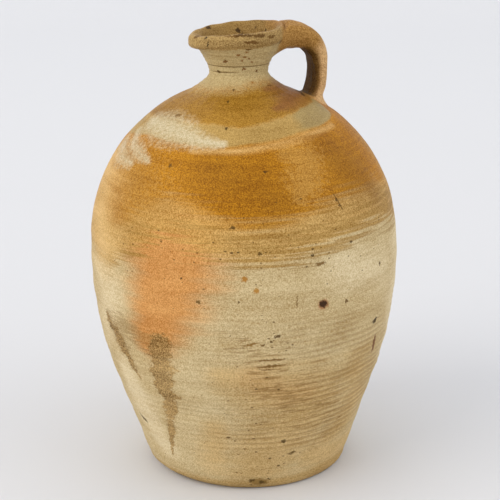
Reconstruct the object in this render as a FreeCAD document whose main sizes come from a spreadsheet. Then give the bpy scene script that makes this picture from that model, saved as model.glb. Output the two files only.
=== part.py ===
"""Stoneware crock jug with a pulled pouring lip and one strap handle, in millimetres.

A large wheel-thrown jug of this kind is put together from a few clay pieces while they are leather
hard: a thrown lower body, a thrown shoulder section seated on it, a collar that becomes the neck and
rim, and a pulled strap handle held on by two wads of soft clay. The firing then makes them one.

Row frame: origin at the middle of the base, +Z up, the handle towards +X, the pouring lip towards -X.
"""

import FreeCAD
import Part
import math
import os

import Sketcher

DOC = FreeCAD.newDocument("crock_jug")

# ---------------------------------------------------------------- driving dimensions
# Radii are measured from the jug's axis, and heights from the surface that it stands on.
SIZES = {
    # outside of the body, from the foot to the opening that the neck sits in
    "foot_radius": 83.6,
    "foot_height": 10.0,
    "foot_top_radius": 84.9,
    "foot_edge": 1.6,
    "wall_radius": 109.3,
    "wall_height": 82.0,
    "belly_radius": 124.5,
    "belly_height": 175.0,
    "high_belly_radius": 123.4,
    "high_belly_height": 200.5,
    "shoulder_radius": 86.5,
    "shoulder_height": 279.2,
    "opening_radius": 39.9,
    "opening_height": 308.5,
    # clay thickness: the wall, what the shoulder loses across and up, and the floor with its corner
    "wall": 8.0,
    "shoulder_wall_across": 5.6,
    "shoulder_wall_up": 4.5,
    "floor": 12.0,
    "floor_radius": 79.6,
    "floor_corner": 24.0,
    # tongue and groove where the shoulder section sits on the lower body
    "seam_width": 4.4,
    "seam_depth": 3.0,
    # collar: its tapered seat, the curve up from the shoulder to its waist, and the flare's foot
    "seat_radius": 35.0,
    "seat_height": 302.6,
    "collar_skirt_radius": 34.2,
    "collar_skirt_height": 312.0,
    "collar_root_radius": 26.0,
    "collar_root_height": 318.0,
    "waist_radius": 23.3,
    "waist_height": 322.4,
    "collar_top_radius": 24.9,
    "collar_top_height": 329.4,
    "collar_step": 0.35,
    # throat through the collar, which opens out below
    "throat_radius": 16.6,
    "throat_foot_radius": 27.5,
    "throat_foot_height": 314.0,
    "throat_top_height": 325.4,
    # the two lines scored round the collar, the upper one where the flare is set on it
    "lower_score_radius": 23.4,
    "lower_score_height": 324.6,
    "score_depth": 0.9,
    "score_reach": 2.4,
    "score_spread": 1.0,
    # rim: its height on the axis, its radius and its slope
    "rim_height": 355.2,
    "rim_radius": 36.4,
    "rim_slope": 6.2,
    "rim_edge": 1.9,
    # outside of the flare and rim, going up: how far each slice is below the rim and inside its radius
    "bowl_drop": 20.4,
    "bowl_inset": 8.8,
    "cheek_drop": 15.2,
    "cheek_inset": 5.0,
    "undercut_drop": 10.6,
    "undercut_inset": 2.2,
    "band_foot_drop": 8.2,
    "band_foot_inset": 0.4,
    "band_drop": 4.2,
    "band_inset": 0.0,
    "brim_drop": 0.0,
    "brim_inset": 0.9,
    # inside of the mouth, in the same way: its first slice is in the throat, its last above the rim
    "gullet_drop": 31.8,
    "gullet_inset": 20.3,
    "funnel_foot_drop": 20.8,
    "funnel_foot_inset": 17.6,
    "funnel_drop": 12.0,
    "funnel_inset": 12.2,
    "funnel_top_drop": 4.6,
    "funnel_top_inset": 7.4,
    "mouth_top_drop": -3.2,
    "mouth_top_inset": 5.6,
    # lip: how far it is pulled out, and how far below the rim its outside begins and is pulled in full
    "lip_pull": 5.6,
    "lip_foot_drop": 21.9,
    "lip_full_drop": 12.9,
    # handle: a strap that leaves the rim level, turns down, and leans in a little
    "strap_start": 31.0,
    "strap_height": 351.6,
    "arch_start": 42.5,
    "arch_radius": 22.2,
    "lean_radius": 120.0,
    "lean_angle": 17.5,
    "root_drop": 2.4,
    "root_width": 33.0,
    "root_thickness": 13.4,
    "crown_width": 31.0,
    "crown_thickness": 17.4,
    "strap_width": 29.0,
    "strap_thickness": 10.2,
    "tail_width": 31.0,
    "tail_thickness": 11.0,
    # soft clay worked round the root of the handle, under and beside it, against the rim
    "root_lute_drop": 2.8,
    "root_lute_width": 37.0,
    "root_lute_thickness": 17.0,
    "root_lute_middle": 35.8,
    "root_lute_middle_drop": 0.9,
    "root_lute_flare": 1.2,
    "root_lute_end": 40.5,
    # soft clay worked round the tail of the handle, on the shoulder
    "tail_lute_top": 12.0,
    "tail_lute_middle": 14.6,
    "tail_lute_radius": 59.5,
    "tail_lute_height": 296.0,
    "tail_lute_slope": 30.0,
    "tail_lute_width": 41.0,
    "tail_lute_thickness": 24.0,
    "tail_lute_flare": 3.6,
    "lute_lap": 0.6,
}


class Size:
    """A length or angle that carries both its number and the words that make it from the sheet."""

    def __init__(self, number, words):
        self.number = number
        self.words = words

    def __add__(self, other):
        other = as_size(other)
        return Size(self.number + other.number, f"({self.words} + {other.words})")

    def __sub__(self, other):
        other = as_size(other)
        return Size(self.number - other.number, f"({self.words} - {other.words})")

    def __mul__(self, other):
        other = as_size(other)
        return Size(self.number * other.number, f"({self.words} * {other.words})")

    def __truediv__(self, other):
        other = as_size(other)
        return Size(self.number / other.number, f"({self.words} / {other.words})")


def as_size(thing):
    return thing if isinstance(thing, Size) else Size(float(thing), f"({float(thing):.9f})")


def sine(angle):
    return Size(math.sin(math.radians(angle.number)), f"sin({angle.words})")


def cosine(angle):
    return Size(math.cos(math.radians(angle.number)), f"cos({angle.words})")


def make_sheet():
    """The driving dimensions as a spreadsheet: names in column A, numbers in column B."""
    sheet = DOC.addObject("Spreadsheet::Sheet", "Sizes")
    for row, (alias, number) in enumerate(SIZES.items(), start=1):
        sheet.set(f"A{row}", alias)
        sheet.set(f"B{row}", str(number))
        sheet.setAlias(f"B{row}", alias)
    DOC.recompute()


class Jug:
    """Every driving dimension by name, as in jug.belly_radius - jug.wall."""

    def __getattr__(self, alias):
        return Size(SIZES[alias], f"Sizes.{alias}")


jug = Jug()

# ---------------------------------------------------------------- sketches
START, END, MIDDLE = 1, 2, 3  # the points of a line, arc or circle, as constraints name them
ORIGIN, AXIS_H, AXIS_V = (-1, 1), -1, -2
NOTHING = 1e-9
CUBIC_CM = 1000.0  # cubic millimetres in one
MATCH = 0.01  # how near an edge has to be to the place that it is looked for at


def new_body(label):
    body = DOC.addObject("PartDesign::Body", label)
    body.Label = label
    return body


def new_sketch(body, name, plane):
    """An empty sketch on one of the body's own origin planes."""
    sketch = body.newObject("Sketcher::SketchObject", name)
    support = next(face for face in body.Origin.OriginFeatures if face.Role == plane)
    sketch.AttachmentSupport = [(support, "")]
    sketch.MapMode = "FlatFace"
    return sketch


def offset(sketch, axis, angle, **shifts):
    """Moves and turns a sketch from its plane, with each shift and the angle tied to the sheet."""
    numbers = {name: size.number for name, size in shifts.items()}
    base = FreeCAD.Vector(numbers.get("x", 0), numbers.get("y", 0), numbers.get("z", 0))
    sketch.AttachmentOffset = FreeCAD.Placement(base, FreeCAD.Rotation(axis, angle.number))
    for name, size in shifts.items():
        sketch.setExpression(f"AttachmentOffset.Base.{name}", size.words)
    if angle.number > NOTHING:
        sketch.setExpression("AttachmentOffset.Rotation.Angle", angle.words)


def place_point(sketch, point, across, up):
    """Ties a sketch point, (geometry, which), to its place across and up from the origin."""
    for kind, size, axis in (("DistanceX", across, AXIS_V), ("DistanceY", up, AXIS_H)):
        if abs(size.number) < NOTHING:
            sketch.addConstraint(Sketcher.Constraint("PointOnObject", *point, axis))
        else:
            index = sketch.addConstraint(Sketcher.Constraint(kind, *ORIGIN, *point, size.number))
            sketch.renameConstraint(index, f"size_{index}")
            sketch.setExpression(f"Constraints.size_{index}", size.words)


class Outline:
    """A chain of lines and tangent arcs in a sketch, every corner tied to the sheet."""

    def __init__(self, sketch, across, up):
        self.sketch = sketch
        self.start = (as_size(across), as_size(up))
        self.home = self.at = FreeCAD.Vector(self.start[0].number, self.start[1].number, 0)
        self.first = self.last = self.heading = None

    def _chain(self, index, begins, ends, how, across, up):
        """Joins a new piece to the one before, or to its own start, and ties its far end down."""
        if self.last:
            self.sketch.addConstraint(Sketcher.Constraint(how, *self.last, index, begins))
        else:
            self.first = (index, begins)
            place_point(self.sketch, self.first, *self.start)
        self.last = (index, ends)
        place_point(self.sketch, self.last, across, up)

    def line(self, across, up):
        """A straight run to a place."""
        across, up = as_size(across), as_size(up)
        target = FreeCAD.Vector(across.number, up.number, 0)
        index = self.sketch.addGeometry(Part.LineSegment(self.at, target))
        self._chain(index, START, END, "Coincident", across, up)
        self.heading = (target - self.at).normalize()
        self.at = target
        return self

    def arc(self, across, up):
        """A circular arc to a place, tangent to the run before it."""
        return self._arc(as_size(across), as_size(up), "Tangent")

    def arc_rising(self, across, up):
        """A circular arc to a place, which sets off straight up whatever comes before it."""
        self.heading = FreeCAD.Vector(0, 1, 0)
        self._arc(as_size(across), as_size(up), "Coincident")
        index, ends = self.last
        begins = START if ends == END else END
        self.sketch.addConstraint(Sketcher.Constraint("Horizontal", index, MIDDLE, index, begins))
        return self

    def _arc(self, across, up, how):
        target = FreeCAD.Vector(across.number, up.number, 0)
        chord = target - self.at
        side = FreeCAD.Vector(-self.heading.y, self.heading.x, 0)
        radius = chord.dot(chord) / (2 * chord.dot(side))
        centre = self.at + side * radius
        first, last = (math.atan2(point.y - centre.y, point.x - centre.x) for point in (self.at, target))
        begins, ends = START, END
        if radius < 0:  # the arc turns right, so it is drawn from its far end
            first, last, begins, ends = last, first, END, START
        circle = Part.Circle(centre, FreeCAD.Vector(0, 0, 1), abs(radius))
        index = self.sketch.addGeometry(Part.ArcOfCircle(circle, first, last))
        self._chain(index, begins, ends, how, across, up)
        bearing = chord.normalize()
        self.heading = bearing * (2 * self.heading.dot(bearing)) - self.heading
        self.at = target
        return self

    def close(self):
        """A straight run back to the start."""
        index = self.sketch.addGeometry(Part.LineSegment(self.at, self.home))
        self.sketch.addConstraint(Sketcher.Constraint("Coincident", *self.last, index, START))
        self.sketch.addConstraint(Sketcher.Constraint("Coincident", index, END, *self.first))
        return self.sketch


def soft_ring(sketch, poles):
    """A closed smooth curve through the pull of its poles, each pole tied to the sheet."""
    points = [FreeCAD.Vector(across.number, up.number, 0) for across, up in poles]
    curve = sketch.addGeometry(Part.BSplineCurve(points, None, None, True, 3, None, False))
    first_pole = sketch.GeometryCount
    sketch.exposeInternalGeometry(curve)
    for number, (across, up) in enumerate(poles):
        place_point(sketch, (first_pole + number, MIDDLE), across, up)
    return sketch


# ---------------------------------------------------------------- features
def finished(body, feature, volume_before, adds):
    """Recomputes and makes sure that the feature really added or took away clay."""
    DOC.recompute()
    change = body.Shape.Volume - volume_before
    if change * (1 if adds else -1) < NOTHING:
        raise SystemExit(f"{feature.Name} changed nothing: {feature.State}")
    return feature


def volume_of(body):
    return 0.0 if body.Shape.isNull() else body.Shape.Volume


def spin(body, kind, name, sketch):
    """A Revolution or Groove of a sketch, all the way round the jug's axis."""
    before = volume_of(body)
    feature = body.newObject(f"PartDesign::{kind}", name)
    feature.Profile = sketch
    feature.ReferenceAxis = (sketch, ["V_Axis"])
    feature.Angle = 360.0
    return finished(body, feature, before, kind == "Revolution")


def loft(body, kind, name, slices):
    """An AdditiveLoft or SubtractiveLoft through slices in order."""
    before = volume_of(body)
    feature = body.newObject(f"PartDesign::{kind}", name)
    feature.Profile = slices[0]
    feature.Sections = slices[1:]
    return finished(body, feature, before, kind == "AdditiveLoft")


def soften(body, name, feature, wanted, radius):
    """Rounds the edges of a feature that the test picks out."""
    before = volume_of(body)
    edges = [f"Edge{number}" for number, edge in enumerate(feature.Shape.Edges, start=1) if wanted(edge)]
    rounding = body.newObject("PartDesign::Fillet", name)
    rounding.Base = (feature, edges)
    rounding.setExpression("Radius", radius.words)
    DOC.recompute()
    if abs(volume_of(body) - before) < NOTHING:
        raise SystemExit(f"{name} changed nothing")
    return rounding


def ring_at(radius, height):
    """A test that picks a level circle of this radius at this height."""

    def wanted(edge):
        box = edge.BoundBox
        level = box.ZLength < MATCH and abs(box.ZMax - height.number) < MATCH
        return level and abs(box.XLength / 2 - radius.number) < MATCH

    return wanted


# ---------------------------------------------------------------- body of the jug
THROWN = "YZ_Plane"  # plane of every thrown section, square to the plane of the handle and the lip


def seam_triangle(body, name):
    """The tongue's section: a shallow V hanging below the seam, in the middle of the wall."""
    middle = jug.belly_radius - jug.wall / 2
    half = jug.seam_width / 2
    ring = Outline(new_sketch(body, name, THROWN), middle - half, jug.belly_height)
    ring.line(middle, jug.belly_height - jug.seam_depth)
    ring.line(middle + half, jug.belly_height)
    return ring.close()


def make_lower_body():
    """Floor and lower wall, thrown from one ball: a low foot, a straight flare, then the belly."""
    body = new_body("lower_body")
    outside = Outline(new_sketch(body, "lower_outside", THROWN), 0, 0)
    outside.line(jug.foot_radius, 0)
    outside.line(jug.foot_top_radius, jug.foot_height)
    outside.line(jug.wall_radius, jug.wall_height)
    outside.arc(jug.belly_radius, jug.belly_height)
    outside.line(0, jug.belly_height)
    spin(body, "Revolution", "lower_solid", outside.close())

    inside = Outline(new_sketch(body, "lower_inside", THROWN), 0, jug.floor)
    inside.line(jug.floor_radius, jug.floor)
    inside.line(jug.wall_radius - jug.wall, jug.wall_height)
    inside.arc(jug.belly_radius - jug.wall, jug.belly_height)
    inside.line(0, jug.belly_height)
    spin(body, "Groove", "lower_hollow", inside.close())

    groove = spin(body, "Groove", "seam_groove", seam_triangle(body, "seam_groove_section"))
    corner = soften(body, "floor_round", groove, ring_at(jug.floor_radius, jug.floor), jug.floor_corner)
    soften(body, "foot_round", corner, ring_at(jug.foot_radius, as_size(0)), jug.foot_edge)
    return body


def make_upper_body():
    """The shoulder section: from the seam at the belly up the dome to the opening for the neck."""
    body = new_body("upper_body")
    outside = Outline(new_sketch(body, "upper_outside", THROWN), 0, jug.belly_height)
    outside.line(jug.belly_radius, jug.belly_height)
    outside.arc_rising(jug.high_belly_radius, jug.high_belly_height)
    outside.arc(jug.shoulder_radius, jug.shoulder_height)
    outside.arc(jug.opening_radius, jug.opening_height)
    outside.line(0, jug.opening_height)
    spin(body, "Revolution", "upper_solid", outside.close())

    inside = Outline(new_sketch(body, "upper_inside", THROWN), 0, jug.belly_height)
    inside.line(jug.belly_radius - jug.wall, jug.belly_height)
    inside.arc_rising(jug.high_belly_radius - jug.wall, jug.high_belly_height)
    inside.arc(jug.shoulder_radius - jug.shoulder_wall_across, jug.shoulder_height - jug.shoulder_wall_up)
    inside.arc(jug.seat_radius, jug.seat_height)
    inside.line(0, jug.seat_height)
    spin(body, "Groove", "upper_hollow", inside.close())

    seat = Outline(new_sketch(body, "neck_seat_section", THROWN), 0, jug.seat_height)
    seat.line(jug.seat_radius, jug.seat_height)
    seat.line(jug.opening_radius, jug.opening_height)
    seat.line(0, jug.opening_height)
    spin(body, "Groove", "neck_seat", seat.close())
    spin(body, "Revolution", "seam_tongue", seam_triangle(body, "seam_tongue_section"))
    return body


# ---------------------------------------------------------------- neck, rim and lip
POLES = 12
LIP_POLE = 3  # the poles are counted from +Y, so this one is at -X
POLE_SHARE = (2 + math.cos(2 * math.pi / POLES)) / 3  # radius of a soft ring over that of its poles
PULL_SHARE = 2 / 3  # how far a soft ring follows one pole that is pulled out
RIM_TILT_AXIS = FreeCAD.Vector(0.53, -0.848, 0)  # level line that the rim slopes about: high at the handle


def rise(height):
    """How far up the flare a height is: 0 at the collar's top or below it, 1 at the rim."""
    if height.number <= jug.collar_top_height.number:
        return as_size(0)
    return (height - jug.collar_top_height) / (jug.rim_height - jug.collar_top_height)


def pressed_out(height):
    """How much of the lip's pull the outside takes: a smooth step from its foot to its full place."""
    up = (height - jug.rim_height + jug.lip_foot_drop) / (jug.lip_foot_drop - jug.lip_full_drop)
    if up.number <= 0:
        return as_size(0)
    if up.number >= 1:
        return as_size(1)
    return up * up * (as_size(3) - up * 2)


def neck_slice(body, name, height, radius, pull):
    """A round slice of the neck, with its pole at -X pulled out as a finger pulls the lip.

    The higher it is, the more it slopes, from level at the collar's top to the slope of the rim.
    """
    sketch = new_sketch(body, f"{name}_slice", "XY_Plane")
    offset(sketch, RIM_TILT_AXIS, jug.rim_slope * rise(height), z=height)
    poles = []
    for number in range(POLES):
        bearing = 2 * math.pi * number / POLES
        across = radius * (-math.sin(bearing) / POLE_SHARE)
        up = radius * (math.cos(bearing) / POLE_SHARE)
        if number == LIP_POLE:
            across = across - jug.lip_pull * pull / PULL_SHARE
        poles.append((across, up))
    return soft_ring(sketch, poles)


def below_rim(name):
    """Height and radius of a slice that the sheet gives by its drop below the rim and its inset."""
    return jug.rim_height - getattr(jug, f"{name}_drop"), jug.rim_radius - getattr(jug, f"{name}_inset")


def score(body, name, radius, height):
    """A line scored round the collar: a fine V whose bottom is below the surface."""
    line = Outline(new_sketch(body, f"{name}_section", THROWN), radius - jug.score_depth, height)
    line.line(radius + jug.score_reach, height + jug.score_spread)
    line.line(radius + jug.score_reach, height - jug.score_spread)
    spin(body, "Groove", name, line.close())


def make_neck():
    """The collar: a tapered seat, a waist with two scored lines, a flare, a rim band and the lip."""
    body = new_body("neck")
    collar = Outline(new_sketch(body, "collar_section", THROWN), 0, jug.seat_height)
    collar.line(jug.seat_radius, jug.seat_height)
    collar.line(jug.opening_radius, jug.opening_height)
    collar.line(jug.collar_skirt_radius, jug.collar_skirt_height)
    collar.arc(jug.collar_root_radius, jug.collar_root_height)
    collar.arc(jug.waist_radius, jug.waist_height)
    collar.arc_rising(jug.collar_top_radius, jug.collar_top_height)
    collar.line(0, jug.collar_top_height)
    spin(body, "Revolution", "collar", collar.close())

    flare_foot = (jug.collar_top_height, jug.collar_top_radius - jug.collar_step)
    flare = [neck_slice(body, "flare_foot", *flare_foot, as_size(0))]
    for name in ("bowl", "cheek", "undercut", "band_foot", "band", "brim"):
        height, radius = below_rim(name)
        flare.append(neck_slice(body, name, height, radius, pressed_out(height)))
    loft(body, "AdditiveLoft", "flare", flare)

    mouth = []
    for name in ("gullet", "funnel_foot", "funnel", "funnel_top", "mouth_top"):
        height, radius = below_rim(name)
        mouth.append(neck_slice(body, name, height, radius, rise(height)))
    loft(body, "SubtractiveLoft", "mouth", mouth)

    throat = Outline(new_sketch(body, "throat_section", THROWN), 0, jug.seat_height)
    throat.line(jug.throat_foot_radius, jug.seat_height)
    throat.line(jug.throat_radius, jug.throat_foot_height)
    throat.line(jug.throat_radius, jug.throat_top_height)
    throat.line(0, jug.throat_top_height)
    band = spin(body, "Groove", "throat", throat.close())

    def on_rim(edge):
        """Picks the two edges of the rim's top: above the band's foot, and longer than the throat's."""
        high = edge.BoundBox.ZMin > jug.rim_height.number - jug.band_foot_drop.number
        return high and edge.Length > 2 * math.pi * jug.throat_radius.number

    soften(body, "rim_round", band, on_rim, jug.rim_edge)
    score(body, "upper_score", jug.collar_top_radius, jug.collar_top_height)
    score(body, "lower_score", jug.lower_score_radius, jug.lower_score_height)
    return body


# ---------------------------------------------------------------- handle and its lutes
STRAP_RING = ((1, 0), (1, 1), (0, 1), (-1, 1), (-1, 0), (-1, -1), (0, -1), (1, -1))
STRAP_TURN = FreeCAD.Vector(1, 0, 0)


def strap_slice(body, name, across, height, turned_down, width, thickness):
    """A slice of strap, square to a heading that is turned down from level by so many degrees."""
    sketch = new_sketch(body, name, "YZ_Plane")
    offset(sketch, STRAP_TURN, turned_down, y=height, z=across)
    half_width = width / 2
    half_thickness = thickness / 2
    return soft_ring(sketch, [(half_width * side, half_thickness * face) for side, face in STRAP_RING])


def on_lean(angle):
    """The strap's place, and how far it has turned down, this many degrees into its lean."""
    across = jug.arch_start + jug.arch_radius - jug.lean_radius + jug.lean_radius * cosine(angle)
    height = jug.strap_height - jug.arch_radius - jug.lean_radius * sine(angle)
    return across, height, angle + 90


def make_strap():
    """The pulled strap: thick where it leaves the rim, thinning round the arch, wider at its tail."""
    body = new_body("strap")
    bend = (jug.arch_start + jug.arch_radius, jug.strap_height - jug.arch_radius)
    tail = on_lean(jug.lean_angle)
    path = Outline(new_sketch(body, "strap_path", "XZ_Plane"), jug.strap_start, jug.strap_height)
    arch_start = (jug.arch_start, jug.strap_height)
    path.line(*arch_start).arc(*bend).arc(*tail[:2])
    level = as_size(0)
    root_height = jug.strap_height - jug.root_drop
    slices = [
        strap_slice(body, "root", jug.strap_start, root_height, level, jug.root_width, jug.root_thickness),
        strap_slice(body, "crown", *arch_start, level, jug.crown_width, jug.crown_thickness),
        strap_slice(body, "bend", *bend, as_size(90), jug.strap_width, jug.strap_thickness),
        strap_slice(body, "tail", *tail, jug.tail_width, jug.tail_thickness),
    ]
    strap = body.newObject("PartDesign::AdditivePipe", "strap_sweep")
    strap.Profile = slices[0]
    strap.Sections = [(one, [""]) for one in slices[1:]]
    strap.Spine = (path.sketch, [])
    strap.Transformation = "Multisection"
    finished(body, strap, 0.0, True)
    return body


def make_root_wad():
    """Clay pressed round the strap's root: sunk in the rim band, it rises to just over the crown."""
    body = new_body("root_wad")
    lap = jug.lute_lap * 2
    height = jug.strap_height
    wide = jug.crown_width + lap
    thick = jug.crown_thickness + lap
    foot_height = height - jug.root_lute_drop
    middle_height = height - jug.root_lute_middle_drop
    level = as_size(0)
    places = [
        ("foot", jug.strap_start, foot_height, jug.root_lute_width, jug.root_lute_thickness),
        ("middle", jug.root_lute_middle, middle_height, wide + jug.root_lute_flare, thick),
        ("end", jug.root_lute_end, height, wide, thick),
    ]
    slices = []
    for name, across, up, width, thickness in places:
        slices.append(strap_slice(body, f"root_wad_{name}", across, up, level, width, thickness))
    loft(body, "AdditiveLoft", "root_wad_solid", slices)
    return body


def make_tail_wad():
    """Clay pressed round the strap's tail: an oval sunk in the shoulder, drawn up thin on the strap."""
    body = new_body("tail_wad")
    lap = jug.lute_lap * 2
    foot = (jug.tail_lute_radius, jug.tail_lute_height, jug.tail_lute_slope + 90)
    middle = on_lean(jug.tail_lute_middle)
    flare = jug.tail_lute_flare
    places = [
        ("foot", foot, jug.tail_lute_width, jug.tail_lute_thickness),
        ("middle", middle, jug.tail_width + flare, jug.tail_thickness + flare),
        ("top", on_lean(jug.tail_lute_top), jug.tail_width + lap, jug.tail_thickness + lap),
    ]
    slices = [strap_slice(body, f"tail_wad_{name}", *place, *sizes) for name, place, *sizes in places]
    loft(body, "AdditiveLoft", "tail_wad_solid", slices)
    return body


def trimmed(label, blank, *neighbours):
    """A piece cut to sit against its neighbours, face to face."""
    piece = blank
    for number, neighbour in enumerate(neighbours, start=1):
        cut = DOC.addObject("Part::Cut", f"{label}_cut_{number}")
        cut.Base = piece
        cut.Tool = neighbour
        piece = cut
    piece.Label = label
    DOC.recompute()
    return piece


def check(pieces):
    """Stops the run where any object failed, or a sub-part is empty or not one valid solid."""
    for item in DOC.Objects:
        if {"Invalid", "Error"} & set(item.State):
            raise SystemExit(f"{item.Name} failed: {item.State}")
    for piece in pieces:
        shape = piece.Shape
        if shape.isNull() or not shape.isValid() or len(shape.Solids) != 1:
            raise SystemExit(f"{piece.Label} is not one valid solid")


def main():
    os.makedirs("parts", exist_ok=True)
    make_sheet()
    lower_body = make_lower_body()
    upper_body = make_upper_body()
    neck = make_neck()
    handle = trimmed("handle", make_strap(), neck, upper_body)
    pieces = [
        lower_body,
        upper_body,
        neck,
        handle,
        trimmed("root_lute", make_root_wad(), neck, handle),
        trimmed("tail_lute", make_tail_wad(), upper_body, handle),
    ]
    check(pieces)
    for piece in pieces:
        piece.Shape.exportStep(f"parts/{piece.Label}.step")
        print(f"{piece.Label}: {piece.Shape.Volume / CUBIC_CM:.1f} cm3")


main()
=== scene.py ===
# %% [markdown]
# # A wood-fired stoneware storage jug
#
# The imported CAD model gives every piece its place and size. This lesson gives the same pieces the skin
# of the real jug: throwing ridges, a pulled lip, a strap that is worked into the rim and the shoulder,
# and the colours that a wood fire leaves on bare clay. Lengths are in millimetres until a mesh is made.

# %% Load the frame
import math

import bpy
import numpy as np
from mathutils import Matrix, Vector


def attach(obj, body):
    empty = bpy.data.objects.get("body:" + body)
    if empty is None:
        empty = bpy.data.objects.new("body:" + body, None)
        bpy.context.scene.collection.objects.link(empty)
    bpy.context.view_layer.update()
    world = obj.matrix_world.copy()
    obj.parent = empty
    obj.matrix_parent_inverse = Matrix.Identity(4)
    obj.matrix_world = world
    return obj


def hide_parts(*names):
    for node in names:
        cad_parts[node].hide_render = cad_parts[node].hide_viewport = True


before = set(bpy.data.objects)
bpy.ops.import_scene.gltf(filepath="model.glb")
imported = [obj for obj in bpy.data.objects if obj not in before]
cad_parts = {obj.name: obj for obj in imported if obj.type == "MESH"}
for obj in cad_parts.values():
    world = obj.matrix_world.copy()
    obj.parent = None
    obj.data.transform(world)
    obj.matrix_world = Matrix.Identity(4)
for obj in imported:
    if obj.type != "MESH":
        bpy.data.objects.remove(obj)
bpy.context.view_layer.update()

MM = 0.001
print("CAD nodes:", ", ".join(sorted(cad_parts)))

# %% [markdown]
# ## The camera's side of the jug
#
# The marks of the fire are placed by bearing and height, as a potter would point at them: bearing 0 faces
# the camera, and positive bearings are to its right.

# %% Bearings
VIEW_AZIMUTH = -18.0  # the camera looks along +Y turned by this many degrees
FACING = -90.0 + VIEW_AZIMUTH  # the world angle of bearing 0


def bearing_of(points):
    """Bearing of points in degrees, from -180 to 180: their angle about Z, less the camera's angle."""
    world = np.degrees(np.arctan2(points[..., 1], points[..., 0]))
    return (world - FACING + 180.0) % 360.0 - 180.0


print(f"the handle, at +X, has bearing {bearing_of(np.array([1.0, 0.0])):.0f}")

# %% [markdown]
# ## The profile of the pot
#
# A thrown pot is a profile carried round an axis. A Screw modifier could turn it, but here every row has
# to be known by its height, for the marks that follow. So the outline is drawn with straight runs and arcs
# that leave each other smoothly, through the same stations as the CAD solids, and then divided evenly.

# %% Straight runs and tangent arcs
def run(start, *stations):
    """Points of a chain of straight runs and arcs, each arc tangent to the run before it.

    An arc that leaves p with heading h for q turns by twice the angle between h and the chord, and its
    radius is the chord over twice the sine of half that turn. "rising" is an arc that leaves upwards.
    """
    at, heading, chain = np.array(start, float), np.array([1.0, 0.0]), [np.array([start], float)]
    for kind, *place in stations:
        place = np.array(place, float)
        chord = place - at
        if kind == "rising":
            heading = np.array([0.0, 1.0])
        if kind == "line":
            chain.append(at + np.linspace(0, 1, 60)[1:, None] * chord)
            heading = chord / np.linalg.norm(chord)
        else:
            side = np.array([-heading[1], heading[0]])
            turn = 2 * math.atan2(chord @ side, chord @ heading)
            radius = np.linalg.norm(chord) / (2 * math.sin(turn / 2))
            swept = np.linspace(0, turn, 120)[1:, None]
            chain.append(at + radius * (np.sin(swept) * heading + (1 - np.cos(swept)) * side))
            heading = math.cos(turn) * heading + math.sin(turn) * side
        at = place
    return np.vstack(chain)


print("an arc that leaves (0, 0) level for (1, 1) ends at", run((0, 0), ("arc", 1, 1))[-1].round(3))


# %% Even spacing and smooth curves
def divide(points, step):
    """The same line with its points spaced evenly, as near to the step as a whole number of them allows."""
    length = np.r_[0, np.cumsum(np.linalg.norm(np.diff(points, axis=0), axis=1))]
    places = np.linspace(0, length[-1], max(2, round(length[-1] / step) + 1))
    return np.column_stack([np.interp(places, length, column) for column in points.T])


def through(stations, step):
    """A Catmull-Rom curve through stations: each span is the cubic set by its two ends and their chords."""
    rows = np.array(stations, float)
    rows = np.vstack([2 * rows[0] - rows[1], rows, 2 * rows[-1] - rows[-2]])
    t = np.linspace(0, 1, 24, endpoint=False)[:, None]
    spans = []
    for before, p, q, after in zip(rows, rows[1:], rows[2:], rows[3:]):
        turn = 2 * before - 5 * p + 4 * q - after
        bend = 3 * p - 3 * q + after - before
        spans.append(p + 0.5 * t * ((q - before) + t * (turn + t * bend)))
    return divide(np.vstack(spans + [rows[-2:-1]]), step)


ten_long = np.array([[0.0, 0.0], [10.0, 0.0]])
print(f"a line of 10 with a step near 3 gets {len(divide(ten_long, 3.0))} points")

# %% Sizes
BELLY = (124.5, 175.0)  # radius and height of the widest place, where the two thrown sections meet
OPENING = (39.9, 308.5)  # where the collar is seated in the shoulder
SEAT = (35.0, 302.6)  # the same joint on the inside
COLLAR_FOOT = (24.9, 329.4)  # the waist of the neck, where the rim starts to flare
COLLAR_TOP = COLLAR_FOOT[1]
RIM_RADIUS, RIM_HEIGHT = 36.4, 355.2
THROAT, THROAT_TOP = 16.6, 325.4
INSIDE_BELLY = (116.5, 175.0)
print(f"across: belly {2 * BELLY[0]:.0f} mm, rim {2 * RIM_RADIUS:.0f} mm, throat {2 * THROAT:.0f} mm")

# %% The outside and the inside, as radius and height
outer_lower = run(
    (0, 0), ("line", 78.0, 0), ("arc", 83.4, 4.2), ("line", 84.9, 10), ("line", 109.3, 82), ("arc", *BELLY)
)
outer_upper = run(BELLY, ("rising", 123.4, 200.5), ("arc", 86.5, 279.2), ("arc", *OPENING))
collar = run(
    OPENING, ("line", 34.2, 312), ("arc", 26, 318), ("arc", 23.3, 322.4), ("rising", *COLLAR_FOOT)
)
inner_upper = run(INSIDE_BELLY, ("rising", 115.4, 200.5), ("arc", 80.9, 274.7), ("arc", *SEAT))[::-1]
inner_lower = run(
    (0, 12), ("line", 61.9, 12), ("arc", 84.8, 28.9), ("line", 101.3, 82), ("arc", *INSIDE_BELLY)
)[::-1]
throat = run((THROAT, THROAT_TOP), ("line", THROAT, 314), ("line", 27.5, SEAT[1]), ("line", *SEAT))
print(f"the wall is {BELLY[0] - INSIDE_BELLY[0]:.1f} mm thick at the belly")

# %% [markdown]
# ## The rim
#
# The rim is a band that was folded out and pressed flat, over a flare. Its corners are soft, so its
# stations are joined by one smooth curve. The third number of a station is its share of the pull that
# makes the lip: a finger draws the band out most, and the flare behind it gives way a little.


# %% Stations of the rim
def below_rim(drop, inset, pull):
    """A station of the rim: radius, height and share of the lip's pull."""
    return RIM_RADIUS - inset, RIM_HEIGHT - drop, pull


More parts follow.
